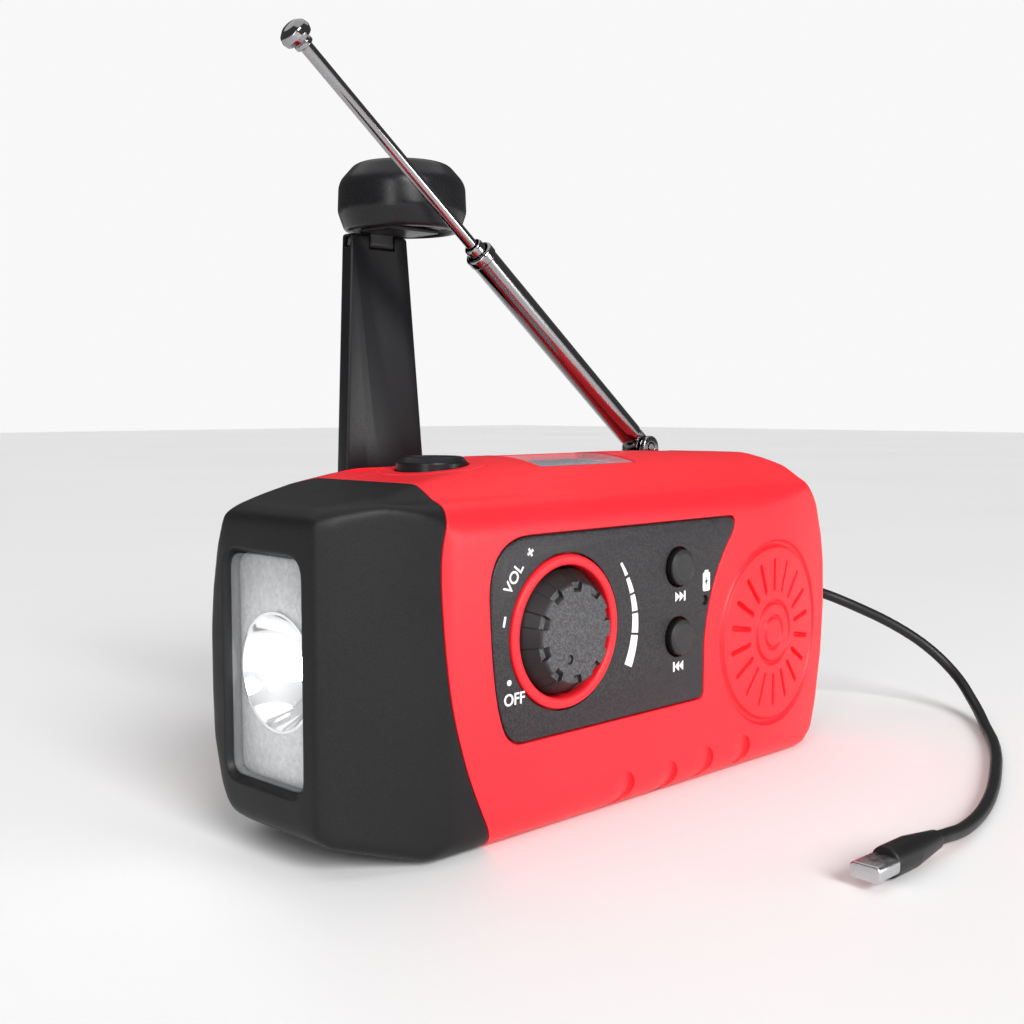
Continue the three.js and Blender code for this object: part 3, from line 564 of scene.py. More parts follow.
PLAN = (
    [(x, front_edge(x)) for x in span(-60.6, 57)]
    + quarter(57, -11, 7, -11 - front_edge(57), -90)[1:]
    + quarter(57, 6, 7, back_edge(57) - 6, 0)
    + [(x, back_edge(x)) for x in span(57, -60.6)][1:]
    + [(-62.6, back_edge(-60.6) - 1.6), (-63.7, -0.7), (-62.6, front_edge(-60.6) + 1.6)]
)
FACE = (
    [(-62.7, 6.2), (-60.5, 4.4), (-50, 1.2), (-42, 0)]
    + quarter(57, 7, 6.4, 7, -90) + [(64, 28)]
    + quarter(52, 44.5, 11.6, 12.9, 0, 20)
    + [(20, TOP_Z), (-16, TOP_Z), (-46, 54.9), (-60.5, 52.6), (-62.7, 50.9), (-63.8, 28)]
)
SIDE = (
    quarter(15, 5, 5, 5, -90) + quarter(15.5, 50.5, 4.5, crown(15.5) - 50.5, 0)
    + [(y, crown(y)) for y in span(13, -15)]
    + quarter(-17.5, 47.5, 4.5, crown(-17.5) - 47.5, 90) + quarter(-17, 5, 5, 5, 180)
)
# Outlines seen along the two diagonals of the plan, as (distance across, height).
DIAGONAL = [
    (46, -0.1), (49.6, 1), (51.8, 3), (53.2, 8.8), (54.4, 17.8), (55, 28), (54.7, 36), (53.9, 41.9),
    (52.3, 47.9), (50.5, 50.9), (46.5, 54.9), (42.7, 56.4), (36, 58.3), (-22, 58.3), (-37.6, 55.5),
    (-43.4, 54.1), (-46.1, 53.1), (-48.6, 51.9), (-50.3, 50.7), (-51.6, 45.9), (-52.6, 39.2), (-53.3, 30),
    (-52.8, 16.5), (-51.5, 9.8), (-50.6, 7.4), (-49.1, 5.4), (-44.7, 3.4), (-32, -0.1),
]
OTHER_DIAGONAL = [
    (43.1, -0.1), (46.7, 1), (48.9, 3), (50.3, 8.8), (51.6, 17.8), (52.1, 28), (51.9, 36), (51, 41.9),
    (49.4, 47.9), (47.9, 51), (45.5, 54.3), (42.5, 56.4), (38, 58.3), (-22, 58.3), (-38.3, 55.8),
    (-44.1, 54.8), (-49.3, 53.4), (-52.6, 52.2), (-54.2, 50.5), (-54.8, 45.9), (-55, 30), (-54.8, 12),
    (-53.6, 5), (-46, -0.1),
]
SEAM = [
    (-35.5, -1), (-36.6, 2), (-39.5, 8), (-42.3, 15), (-44.6, 24), (-45.9, 36), (-46, 46), (-44, 53), (-41, 60),
]


def casing(name, into):
    body = plate(name, "z", inset(PLAN, into), -5, 65)
    diagonals = []
    for outline, turn in ((DIAGONAL, -45), (OTHER_DIAGONAL, 45)):
        diagonals.append(plate("diagonal", "y", inset(outline, into), -90, 90))
        diagonals[-1].data.transform(Matrix.Rotation(math.radians(turn), 4, "Z"))
    return combine("INTERSECT", body, plate("face", "y", inset(FACE, into), -30, 30),
                   plate("side", "x", inset(SIDE, into), -70, 70), *diagonals)


def through(points, per_span=8):
    """Smooth line through the points."""
    pts = np.array(points, float)
    ends = np.vstack([2 * pts[0] - pts[1], pts, 2 * pts[-1] - pts[-2]])
    out = []
    for a, b, c, d in zip(ends, ends[1:], ends[2:], ends[3:]):
        for k in range(per_span):
            t = k / per_span
            out.append(0.5 * (2 * b + (c - a) * t + (2 * a - 5 * b + 4 * c - d) * t * t
                              + (3 * b - a - 3 * c + d) * t ** 3))
    return [tuple(p) for p in out] + [tuple(pts[-1])]


def left_of_seam(shift):
    line = [(x + shift, z) for x, z in through(SEAM)]
    return plate("seam", "y", [(-80, -1)] + line + [(-80, 60)], -30, 30)


def soft_casing():
    body = casing("casing", 0)
    remesh = body.modifiers.new("even", "REMESH")
    remesh.mode, remesh.voxel_size = "VOXEL", VOXEL
    smooth = body.modifiers.new("soft", "SMOOTH")
    smooth.factor, smooth.iterations = 0.5, SOFTENING
    return baked(body)


outer = soft_casing()
surface = BVHTree.FromPolygons([v.co for v in outer.data.vertices],
                               [tuple(p.vertices) for p in outer.data.polygons])


def front_at(x, z):
    hit = surface.ray_cast(Vector((x, -60, z)), Vector((0, 1, 0)))[0]
    return hit.y if hit else FRONT_Y + 6


def top_at(x, y):
    hit = surface.ray_cast(Vector((x, y, 90)), Vector((0, 0, -1)))[0]
    return hit.z if hit else TOP_Z - 4


def relief(name, grid, closed=False, where="front"):
    """Cutter that follows the casing, from rows of (a, b, depth). closed joins the last row to the first."""
    def at(a, b, depth):
        if where == "front":
            return a, front_at(a, b) + depth, b
        return a, b, top_at(a, b) - depth

    rings = [[at(*point) for point in row] + [at(a, b, -2.0) for a, b, _ in reversed(row)] for row in grid]
    return grid_solid(name, rings, wrap_rings=closed)


def ring_groove(cx, cy, low, high, depth, where="front", sides=96):
    """Round-bottomed ring groove between two radii."""
    across = [-0.15, 0.04, 0.18, 0.35, 0.5, 0.65, 0.82, 0.96, 1.15]
    grid = []
    for k in range(sides):
        angle = TAU * k / sides
        row = []
        for t in across:
            r = low + (high - low) * t
            deep = depth * (1 - abs(2 * t - 1) ** 2.5)
            row.append((cx + r * math.cos(angle), cy + r * math.sin(angle), deep))
        grid.append(row)
    return relief("groove", grid, closed=True, where=where)


def slot_groove(cx, cy, angle, start, end, width, depth):
    """Radial slot with rounded ends and sloping sides."""
    grid = []
    half = width / 2
    for t in span(0, 1, 0.07):
        along = start + (end - start) * t
        near = min(along - start, end - along)
        wide = half * math.sqrt(max(0.02, 1 - max(0.0, 1 - near / half) ** 2))
        row = []
        for v in (-1.25, -1, -0.72, -0.4, 0.4, 0.72, 1, 1.25):
            deep = depth * min(1.0, max(-0.2, (1 - abs(v)) / 0.5)) * (wide / half)
            off = v * wide
            row.append((cx + along * math.cos(angle) - off * math.sin(angle),
                        cy + along * math.sin(angle) + off * math.cos(angle), deep))
        grid.append(row)
    return relief("slot", grid)


def scallop(cx, cy, width, height, depth):
    """Thumb-nail recess: flush at its left and deepest at its round right end."""
    grid = []
    for t in span(0, 1, 0.06):
        x = cx + width * (t - 0.5)
        past = max(0.0, (t - 0.45) / 0.55)
        tall = height / 2 * math.sqrt(max(0.004, 1 - past ** 2))
        row = [(x, cy + v * tall, depth * t ** 1.3 * (1 - 0.15 * abs(v)) if abs(v) < 1.01 else -0.2)
               for v in (-1, -0.9, -0.6, -0.3, 0, 0.3, 0.6, 0.9, 1)]
        grid.append(row)
    return relief("scallop", grid)


# ---------- front shell ----------
DIAL_X, DIAL_Z = -20.7, 31.7
BUTTON_X, NEXT_Z, PREVIOUS_Z = 7.6, 39.4, 27.4
INDICATOR_X, INDICATOR_Z = 15.2, 32.9
SPEAKER_X, SPEAKER_Z = 36.9, 24.6
LAMP_X, LAMP_Y = -28.3, 0.5
SCALLOPS = [(-6.0, 3.9), (5.7, 3.4), (15.8, 4.1), (27.0, 4.2)]
SCREWS = [(-32, 7), (50, 9), (-38, 48.5), (49, 45)]
CRANK_X, CRANK_Z = -10.6, 25.0
MAST_X, MAST_Y, MAST_Z, MAST_LEAN = 39.0, 12.5, 58.3, 38.0


def bend(start, control, end, steps=8):
    """Points of a quadratic curve, without its start."""
    a, b, c = Vector(start), Vector(control), Vector(end)
    shares = [k / steps for k in range(1, steps + 1)]
    return [tuple((1 - t) ** 2 * a + 2 * t * (1 - t) * b + t * t * c) for t in shares]


def panel_outline(into):
    left, right, low, high = -37.1 + into, 24.4 - into, 15.5 + into, 47.4 - into
    waist = 15.2 - into
    line = [(left + 7, low), (waist - 1.5, low)]
    line += bend(line[-1], (waist, low), (waist, low + 1.5))
    line += [(waist, 25)]
    line += bend(line[-1], (16.4 - into, 36.5), (right - 1.2, 44), 14)
    line += bend(line[-1], (right + 0.6, high), (right - 2.5, high))
    line += [(left + 9, high)]
    line += bend(line[-1], (left, high), (left, high - 9), 12)
    line += bend(line[-1], (left + 0.6, 24), (left + 2.4, low + 4), 12)
    line += bend(line[-1], (left + 3.6, low), (left + 7, low))[:-1]
    return line


def disc(radius, low, high, x, z, sides=96):
    return rod("disc", "y", radius, low, high, (x, 0, z), 0, sides)


def solar_opening():
    return box("solar", (solar_low[0] - GAP, solar_high[0] + GAP), (solar_low[1] - GAP, solar_high[1] + GAP),
               (54, 70), 1.0)


def lamp_opening():
    return rod("hole", "z", 6.1, 50, 70, (LAMP_X, LAMP_Y, 0))


def lamp_ring():
    return ring_groove(LAMP_X, LAMP_Y, 8.3, 9.0, 0.14, where="top")


cavity = casing("cavity", WALL)
solar_low, solar_high = (np.array(v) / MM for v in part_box("solar_window"))

front = copy_of(outer, "front")
combine("INTERSECT", front, box("before", (-80, 80), (-40, PARTING_Y - GAP / 2), (-5, 70)))
cut(front, left_of_seam(GAP))
grooves = [
    ring_groove(SPEAKER_X, SPEAKER_Z, 15.9, 17.4, 0.75),
    ring_groove(SPEAKER_X, SPEAKER_Z, 5.2, 6.2, 0.6),
    ring_groove(SPEAKER_X, SPEAKER_Z, 2.5, 3.4, 0.5),
    lamp_ring(),
]
grooves += [slot_groove(SPEAKER_X, SPEAKER_Z, TAU * (k + 0.5) / 18, 7.6, 14.0, 0.95, 1.1) for k in range(18)]
grooves += [scallop(x, z, 5.2, 5.4, 0.75) for x, z in SCALLOPS]
cut(front, *grooves)
cut(front, plate("recess", "y", panel_outline(0), -30, FRONT_Y + 1.2), disc(12.1, -30, -21, DIAL_X, DIAL_Z))
cut(front, cavity, keep=(cavity,))
cut(front,
    disc(12.0, -30, -15, DIAL_X, DIAL_Z),
    disc(3.5, -30, -15, BUTTON_X, NEXT_Z), disc(3.5, -30, -15, BUTTON_X, PREVIOUS_Z),
    disc(1.0, -30, -15, INDICATOR_X, INDICATOR_Z, 32),
    lamp_opening(), solar_opening(),
    box("socket", (55, 80), (-9.2, 4.6), (22.8, 30.2), 1.2, axis="x"))
piece(front, "shell_front", RED, "case", ["front_shell"])

bezel_profile = rounded([(10.4, -16, 0), (12.05, -16, 0), (12.05, -22.55, 0.55), (10.4, -22.55, 0.55)])
bezel = turned("bezel", "y", bezel_profile, (DIAL_X, 0, DIAL_Z), 144, closed=True)
piece(bezel, "dial_bezel", RED, "case")

# ---------- rear shell ----------
rear = copy_of(outer, "rear")
combine("INTERSECT", rear, box("behind", (-80, 80), (PARTING_Y + GAP / 2, 60), (-5, 70)))
cut(rear, left_of_seam(GAP), lamp_ring())
cut(rear, cavity, keep=(cavity,))
channel = combine("INTERSECT", box("channel", (-39, 46), (8, 18.5), (52.2, 56)), copy_of(outer, "limit"))
post = combine("INTERSECT", rod("post", "z", 6.8, 49, 54.2, (MAST_X, MAST_Y, 0)), copy_of(outer, "limit"))
fuse(rear, channel, post)
cut(rear,
    box("groove", (-37, MAST_X), (MAST_Y - 3.3, MAST_Y + 3.3), (54.4, 70), 3.2),
    rod("pocket", "z", 6.6, 54.4, 70, (MAST_X, MAST_Y, 0)),
    rod("bore", "z", 2.1, 40, 60, (MAST_X, MAST_Y, 0)),
    rod("hub_hole", "y", 4.8, 0, 30, (CRANK_X, 0, CRANK_Z)),
    lamp_opening(), solar_opening(),
    *[rod("counterbore", "y", 2.6, back_edge(x) - 2.6, 40, (x, 0, z)) for x, z in SCREWS])
piece(rear, "shell_rear", RED, "case", ["rear_shell"])

# ---------- flashlight head ----------
WINDOW_Y, WINDOW_Z, WINDOW_WIDE, WINDOW_TALL, WINDOW_CORNER = -1.2, 28.4, 18.6, 34.0, 3.0
BOWL_Y, BOWL_Z = -1.8, 28.0


def window(into):
    y0, y1 = WINDOW_Y - WINDOW_WIDE / 2 + into, WINDOW_Y + WINDOW_WIDE / 2 - into
    z0, z1 = WINDOW_Z - WINDOW_TALL / 2 + into, WINDOW_Z + WINDOW_TALL / 2 - into
    c = WINDOW_CORNER - into
    return rounded([(y0, z0, c), (y1, z0, c), (y1, z1, c), (y0, z1, c)])


head = copy_of(outer, "head")
combine("INTERSECT", head, left_of_seam(0))
end_wall = combine("INTERSECT", box("end", (-60.8, -58.4), (-30, 30), (0, 60)), copy_of(outer, "limit"))
cut(head, cavity)
fuse(head, end_wall)
flare = [(-80, 1.6), (-63.9, 1.2), (-62.6, 0.35), (-62.0, 0.0), (-50, 0.0)]
frame_rim = grid_solid("rim", [[(x, y, z) for y, z in inset(anticlockwise(window(0)), -spread)]
                               for x, spread in flare])
cut(head, frame_rim)
piece(head, "head_shell", BLACK_RUBBER, "case", ["lamp_housing"])
bpy.data.objects.remove(outer)

lens = plate("lens", "x", window(GAP), -62.0, -60.8, 0.25)
piece(lens, "lens", LENS_CLEAR, "case", ["lamp_lens"])
mirror_plate = plate("plate", "x", window(GAP), -60.4, -54.2, 0.3)
cut(mirror_plate,
    turned("bowl_hole", "x", [(0, -54.0), (8.9, -54.0), (8.9, -61), (0, -61)], (0, BOWL_Y, BOWL_Z)))
piece(mirror_plate, "reflector_plate", SILVER, "case", ["lamp_reflector"])
bowl_profile = [(1.9, -54.6), (3.0, -55.0), (4.6, -55.9), (6.0, -57.0), (7.4, -58.6), (8.2, -60.2),
                (8.5, -60.75), (9.0, -60.75), (8.85, -60.2), (8.7, -57.5), (7.0, -55.6), (5.0, -54.5),
                (1.9, -54.25)]
bowl = turned("bowl", "x", bowl_profile, (0, BOWL_Y, BOWL_Z), 128, closed=True)
piece(bowl, "reflector_bowl", BOWL_CHROME, "case", crease=60)
led_profile = filleted((0, -58.6), (1.7, -58.6, 1.1), (1.7, -54.2, 0), (0, -54.2))
led = fuse(turned("led", "x", led_profile, (0, BOWL_Y, BOWL_Z), 48),
           rod("base", "x", 2.6, -54.1, -53.2, (0, BOWL_Y, BOWL_Z)))
piece(led, "led_lamp", LED, "case", ["lamp_led"])

# ---------- control panel and its marks ----------
PANEL_FACE = FRONT_Y - 0.05
panel = plate("panel", "y", panel_outline(GAP), PANEL_FACE, FRONT_Y + 0.9, 0.0, 0.3)
cut(panel, disc(12.4, -30, -10, DIAL_X, DIAL_Z), disc(3.5, -30, -10, BUTTON_X, NEXT_Z),
    disc(3.5, -30, -10, BUTTON_X, PREVIOUS_Z), disc(0.9, -30, -10, INDICATOR_X, INDICATOR_Z, 32))
piece(panel, "control_panel", PANEL_SKIN, "case", ["front_panel"])
INK = (PANEL_FACE - 0.07, PANEL_FACE + 0.05)


def ink(outline):
    return plate("mark", "y", outline, *INK)


def lettering(text, x, z, size, degrees):
    """Raised text facing -Y, centred at (x, z)."""
    curve = bpy.data.curves.new("text", "FONT")
    curve.body, curve.size, curve.extrude = text, size, (INK[1] - INK[0]) / 2
    curve.align_x, curve.align_y, curve.offset = "CENTER", "CENTER", size * 0.014
    obj = linked("text", curve)
    obj.rotation_euler = Euler((math.pi / 2, 0, 0))
    obj.rotation_euler.rotate_axis("Z", math.radians(degrees))
    obj.location = (x, sum(INK) / 2, z)
    bpy.context.view_layer.update()
    mesh = bpy.data.meshes.new_from_object(obj.evaluated_get(bpy.context.evaluated_depsgraph_get()))
    mesh.transform(obj.matrix_world)
    bpy.data.objects.remove(obj)
    return linked("letters", mesh)


def tilted(points, x, z, degrees):
    c, s = math.cos(math.radians(degrees)), math.sin(math.radians(degrees))
    return [(x + a * c - b * s, z + a * s + b * c) for a, b in points]


def bar(x, z, length, thick, degrees):
    a, b = length / 2, thick / 2
    return ink(tilted([(-a, -b), (a, -b), (a, b), (-a, b)], x, z, degrees))


def arc_bar(z_from, z_to, wide_from, wide_to):
    """One step of the volume scale, which swells as it goes down."""
    def at(z, off):
        t = (z - DIAL_Z) / 10
        x = DIAL_X + 16.85 - 3.6 * t * t - 0.35 * t
        away = Vector((1, 0.55 * t)).normalized()
        return x + off * away.x, z + off * away.y

    steps = [z_from + (z_to - z_from) * k / 6 for k in range(7)]
    wide = [wide_from + (wide_to - wide_from) * k / 6 for k in range(7)]
    right = [at(z, w / 2) for z, w in zip(steps, wide)]
    left = [at(z, -w / 2) for z, w in zip(steps, wide)]
    return ink(right + left[::-1])


def skip_icon(x, z, way):
    """Two triangles and a bar."""
    tall, wide = 0.85, 1.15
    marks = []
    for k in (-1, 0):
        a = x + way * (k * wide - 0.1)
        marks.append(ink([(a, z - tall), (a + way * wide, z), (a, z + tall)]))
    marks.append(bar(x + way * (wide + 0.15), z, 0.4, 2 * tall, 0))
    return marks


VOLUME_STEPS = [  # height from and to, width from and to
    (41.3, 39.2, 0.5, 0.75), (38.7, 36.2, 0.8, 1.05), (35.8, 33.1, 1.1, 1.35), (32.7, 29.5, 1.4, 1.6),
    (29.1, 24.2, 1.65, 1.9),
]
marks = [arc_bar(*step) for step in VOLUME_STEPS]
marks.append(fuse(bar(-28.6, 44.7, 1.35, 0.38, 31), bar(-28.6, 44.7, 0.38, 1.35, 31)))
marks.append(bar(-34.1, 34.7, 1.6, 0.42, 77))
marks += skip_icon(8.0, 34.3, 1) + skip_icon(7.8, 22.3, -1)
marks.append(disc(0.45, *INK, -33.1, 25.4, 24))
battery = ink(rounded([(14.4, 34.5, 0.4), (16.4, 34.5, 0.4), (16.4, 37.8, 0.4), (14.4, 37.8, 0.4)]))
bolt = [(15.5, 37.2), (14.9, 36.0), (15.3, 36.0), (15.2, 35.0), (15.9, 36.4), (15.5, 36.4)]
cut(battery, plate("bolt", "y", bolt, -30, -10))
marks += [battery, bar(15.4, 38.0, 1.0, 0.4, 0)]
marks += [lettering("VOL", -32.1, 41.0, 2.6, 54), lettering("OFF", -32.0, 22.7, 2.55, 0)]
piece(joined("marks", *marks), "panel_marks", WHITE_INK, "case")

# ---------- volume dial ----------
DIAL_NOTCHES = 10


def volume_dial():
    sides = 360
    levels = [  # radius, place along the axis and depth of the notches there
        (0.02, -18.0, 0), (9.9, -18.0, 0), (9.9, -21.3, 0.2), (9.6, -21.9, 0.3), (8.25, -23.75, 0.35),
        (8.2, -23.82, 1.2), (7.85, -24.4, 1.2), (7.6, -24.6, 1.15), (5.9, -24.6, 0), (5.4, -24.62, 0),
        (0.02, -24.62, 0),
    ]
    rings = []
    for radius, y, notch in levels:
        ring = []
        for k in range(sides):
            in_notch = 0.28 < k / sides * DIAL_NOTCHES % 1 < 0.72
            r = radius - notch if in_notch else radius
            angle = TAU * k / sides
            ring.append((DIAL_X + r * math.cos(angle), y, DIAL_Z + r * math.sin(angle)))
        rings.append(ring)
    dial = grid_solid("dial", rings)
    dimple = turned("dimple", "y", filleted((0, -30), (0.75, -30), (0.75, -24.1, 0.5), (0, -24.1), steps=4),
                    (-22.4, 0, 27.8), 32)
    cut(dial, dimple)
    return fuse(dial, rod("stem", "y", 2.2, -18.2, -15, (DIAL_X, 0, DIAL_Z)))


piece(volume_dial(), "dial", DIAL_SKIN, "volume_knob", ["volume_dial"], crease=25)

# ---------- push buttons ----------
for label, z in (("next", NEXT_Z), ("previous", PREVIOUS_Z)):
    cap = filleted(
        (0, -18.3), (4.6, -18.3, 0), (4.6, -19.4, 0.2), (3.1, -19.4, 0), (3.1, -23.05, 0.45),
        (2.3, -23.4, 0.6), (0, -23.25))
    piece(turned("cap", "y", cap, (BUTTON_X, 0, z), 96), f"button_{label}", BUTTON_SKIN, f"{label}_cap",
          [f"{label}_button"])

push = filleted(
    (0, 52.6), (7.2, 52.6, 0), (7.2, 53.6, 0.3), (5.8, 53.6, 0), (5.8, 57.6, 0.3), (5.0, 58.5, 0.4),
    (4.3, 58.6, 0.3), (3.9, 58.35, 0.3), (0, 58.25))
piece(turned("push", "z", push, (LAMP_X, LAMP_Y, 0), 96), "lamp_push", BLACK, "lamp_cap",
      ["lamp_button"])

# ---------- solar window ----------
def eased(low, high, step):
    return [low, low + 0.15, low + 0.5] + span(low + 2, high - 2, step) + [high - 0.5, high - 0.15, high]


def crowned_slab(name, down_to, up_to):
    """Slab in the solar opening that follows the casing's crown, with eased rims."""
    (x0, y0), (x1, y1) = solar_low[:2], solar_high[:2]
    across = eased(y0, y1, 1.5)

    def height(x, y, below):
        near = min(x - x0, x1 - x, y - y0, y1 - y)
        return top_at(x, y) - below - 0.15 * (1 - min(1.0, near / 0.5)) ** 2

    rings = []
    for x in eased(x0, x1, 6):
        rings.append([(x, y, height(x, y, up_to)) for y in across]
                     + [(x, y, top_at(x, y) - down_to) for y in reversed(across)])
    return grid_solid(name, rings)


piece(crowned_slab("glass", 0.9, 0.05), "solar_glass", SOLAR_CLEAR, "case", ["solar_window"])
piece(crowned_slab("cell", 2.2, 1.0), "solar_panel", SOLAR, "case", ["solar_cell"])

# ---------- crank ----------
ARM_FRONT, ARM_BACK, ARM_TOP = 33.5, 36.5, 98.2
FOOT_X, FOOT_RADIUS = -9.7, 11.4
HINGE_Y, HINGE_Z = 35.0, 96.7
GRIP_X, GRIP_Y = -10.0, 29.0

hub_profile = filleted(
    (0, 20.9), (12.5, 20.9, 0.8), (12.5, 24.5, 1.2), (9.6, 27, 1.6), (9.0, 33.2, 0.4), (0, 33.2))
hub = cut(turned("hub", "y", hub_profile, (CRANK_X, 0, CRANK_Z), 128),
          rod("bore", "y", 1.6, 25, 40, (CRANK_X, 0, CRANK_Z)))
piece(hub, "crank_hub_cover", BLACK, "crank", ["crank_hub"])


def lever():
    foot = [(FOOT_X + FOOT_RADIUS * math.cos(a), CRANK_Z + FOOT_RADIUS * math.sin(a))
            for a in [math.pi + math.pi * k / 32 for k in range(33)]]
    top = filleted(foot[-1], (-5, ARM_TOP, 0.8), (-18.2, ARM_TOP, 0.8), foot[0])[1:-1]
    outline = foot + top
    arm = plate("lever", "y", outline, ARM_FRONT, ARM_BACK, 0.45)
    back_pocket = [(a, min(b, HINGE_Z - 6)) for a, b in inset(anticlockwise(outline), 2.0)]
    pocket = plate("pocket", "y", back_pocket, ARM_BACK - 0.5, 40, 0.0, 0.2)
    boss = rod("boss", "y", 5.2, ARM_BACK - 0.8, ARM_BACK, (CRANK_X, 0, CRANK_Z), 0.25)
    cut(arm, pocket)
    fuse(arm, boss)
    return cut(arm,
               box("slot", (-14.2, -8.0), (HINGE_Y, 40), (HINGE_Z - 1.9, 110)),
               box("front_slot", (-14.2, -8.0), (30, HINGE_Y + 0.1), (HINGE_Z - 0.2, 110)),
               rod("knuckle_room", "x", 1.8, -14.2, -8.0, (0, HINGE_Y, HINGE_Z)),
               rod("pin_hole", "x", 1.1, -30, 10, (0, HINGE_Y, HINGE_Z)),
               rod("screw_hole", "y", 2.0, 30, 40, (CRANK_X, 0, CRANK_Z)),
               rod("counterbore", "y", 3.4, ARM_BACK - 1.2, 40, (CRANK_X, 0, CRANK_Z)))


piece(lever(), "crank_lever", BLACK, "crank", ["crank_arm"])


def cross_cutter(axis, place, face, size, depth):
    """Recess of a cross-head screw."""
    parts = []
    for wide, tall in ((size, size * 0.26), (size * 0.26, size)):
        corners = [(-wide / 2, -tall / 2), (wide / 2, -tall / 2), (wide / 2, tall / 2), (-wide / 2, tall / 2)]
        rings = []
        for along, share in ((face + 1, 1.0), (face, 1.0), (face - depth, 0.45)):
            rings.append([to_axis(axis, place[0] + a * share, place[1] + b * share, along)
                          for a, b in corners])
        parts.append(grid_solid("cross", rings))
    return fuse(parts[0], parts[1])


screw_profile = filleted(
    (0, 27), (1.3, 27), (1.3, 35.6), (3.1, 35.6, 0.1), (3.0, 36.3, 0.5), (1.8, 36.78, 0.4), (0, 36.8))
screw = turned("screw", "y", screw_profile, (CRANK_X, 0, CRANK_Z), 64)
cut(screw, cross_cutter("y", (CRANK_X, CRANK_Z), 36.8, 3.2, 1.0))
piece(screw, "lever_screw", STEEL, "crank", ["crank_screw"])

for i, (x, z) in enumerate(SCREWS, 1):
    seat = back_edge(x) - 2.3
    shank = filleted(
        (0, -8), (1.2, -8, 0.4), (1.2, seat), (2.2, seat, 0.1), (2.1, seat + 0.9, 0.4),
        (1.2, seat + 1.28, 0.3), (0, seat + 1.3))
    screw = turned("screw", "y", shank, (x, 0, z), 48)
    cut(screw, cross_cutter("y", (x, z), seat + 1.3, 2.4, 0.8))
    piece(screw, f"rear_screw_{i}", STEEL, "case", [f"case_screw_{i}"])

# Folding bracket between the lever's prongs, and the turning grip on it.
LUG = (-13.9, -8.3)
bracket = box("lug", LUG, (HINGE_Y - 1.5, HINGE_Y + 1.5), (HINGE_Z, 99.1), 0.3)
fuse(bracket, rod("knuckle", "x", 1.5, *LUG, (0, HINGE_Y, HINGE_Z), 0.15),
     box("shelf", (-17.2, -4.6), (24.4, 33), (98.3, 99.1), 1.5, 0.2),
     box("neck", LUG, (32.8, 36.5), (98.3, 99.1), 0.2),
     rod("stud", "z", 2.4, 98.9, 106, (GRIP_X, GRIP_Y, 0), 0.2))
cut(bracket, rod("bore", "z", 1.3, 100, 110, (GRIP_X, GRIP_Y, 0)),
    rod("pin_hole", "x", 1.1, -30, 10, (0, HINGE_Y, HINGE_Z)))
piece(bracket, "grip_bracket", BLACK, "knob_carrier", ["knob_bracket"])

grip_profile = rounded([
    (2.7, 99.4, 0), (9.0, 99.4, 0.1), (9.3, 98.5, 0.2), (10.6, 98.6, 1.2), (11.8, 102.0, 3),
    (11.6, 107.2, 4), (8.6, 110.6, 3), (4.4, 111.1, 0.4), (4.4, 106.4, 0), (2.7, 106.4, 0)
], steps=8)
piece(turned("grip", "z", grip_profile, (GRIP_X, GRIP_Y, 0), 128, closed=True), "grip", GRIP, "knob",
      ["crank_knob"], crease=50)
cap_profile = filleted(
    (0, 101), (1, 101, 0.2), (1, 106.7, 0), (4, 106.7, 0.2), (3.9, 108.0, 0.5), (2.4, 108.4, 0.5),
    (0, 108.4))
cap_screw = turned("cap_screw", "z", cap_profile, (GRIP_X, GRIP_Y, 0), 64)
cut(cap_screw, cross_cutter("z", (GRIP_X, GRIP_Y), 108.4, 3.6, 0.9))
piece(cap_screw, "grip_screw", STEEL, "knob_carrier", ["knob_screw"])

# ---------- antenna ----------
LEAN = Matrix.Translation((MAST_X, MAST_Y, MAST_Z)) @ Matrix.Rotation(-math.radians(90 - MAST_LEAN), 4, "Y")
TUBE, ROD = 58.0, 108.0


def leaned(obj):
    obj.data.transform(LEAN)
    return obj


turret = rod("disc", "z", 5.2, 54.7, 55.4, (MAST_X, MAST_Y, 0), 0.2)
ears = [(MAST_Y - 2.9, MAST_Y - 1.7), (MAST_Y + 1.7, MAST_Y + 2.9)]
fuse(turret, rod("stem", "z", 1.8, 46, 54.9, (MAST_X, MAST_Y, 0), 0.2),
     *[box("ear", (MAST_X - 2.3, MAST_X + 2.3), y, (55.2, MAST_Z)) for y in ears])
for y in ears:
    fuse(turret, rod("eye", "y", 2.3, *y, (MAST_X, 0, MAST_Z), 0.2))
cut(turret, rod("hole", "y", 1.1, 0, 30, (MAST_X, 0, MAST_Z)))
piece(turret, "turret", CHROME, "antenna_turret", ["antenna_base"])

lower_profile = filleted(
    (0, 3.2), (2.1, 3.2, 0.3), (2.45, 4.4, 0.5), (2.45, TUBE - 2.1, 0.1), (2.65, TUBE - 1.9, 0.15),
    (2.65, TUBE - 0.4, 0.6), (2.05, TUBE, 0.2), (2.05, 4.2, 0), (0, 4.2))
lower = turned("lower", "z", lower_profile, sides=96)
lower = fuse(lower, box("tongue", (-1.9, 1.9), (-1.4, 1.4), (0, 3.4)),
             rod("eye", "y", 1.9, -1.4, 1.4, (0, 0, 0), 0.2))
cut(lower, rod("hole", "y", 1.1, -5, 5, (0, 0, 0)))
piece(leaned(lower), "mast_lower", CHROME, "antenna_mast", ["antenna_outer_tube"])

middle_profile = rounded([
    (1.37, 5), (1.75, 5, 0.1), (1.75, TUBE + 1.1, 0.2), (1.6, TUBE + 1.5, 0.3), (1.37, TUBE + 1.6, 0.1)
])
middle = turned("middle", "z", middle_profile, sides=96, closed=True)
piece(leaned(middle), "mast_middle", CHROME, "antenna_middle", ["antenna_middle_tube"])

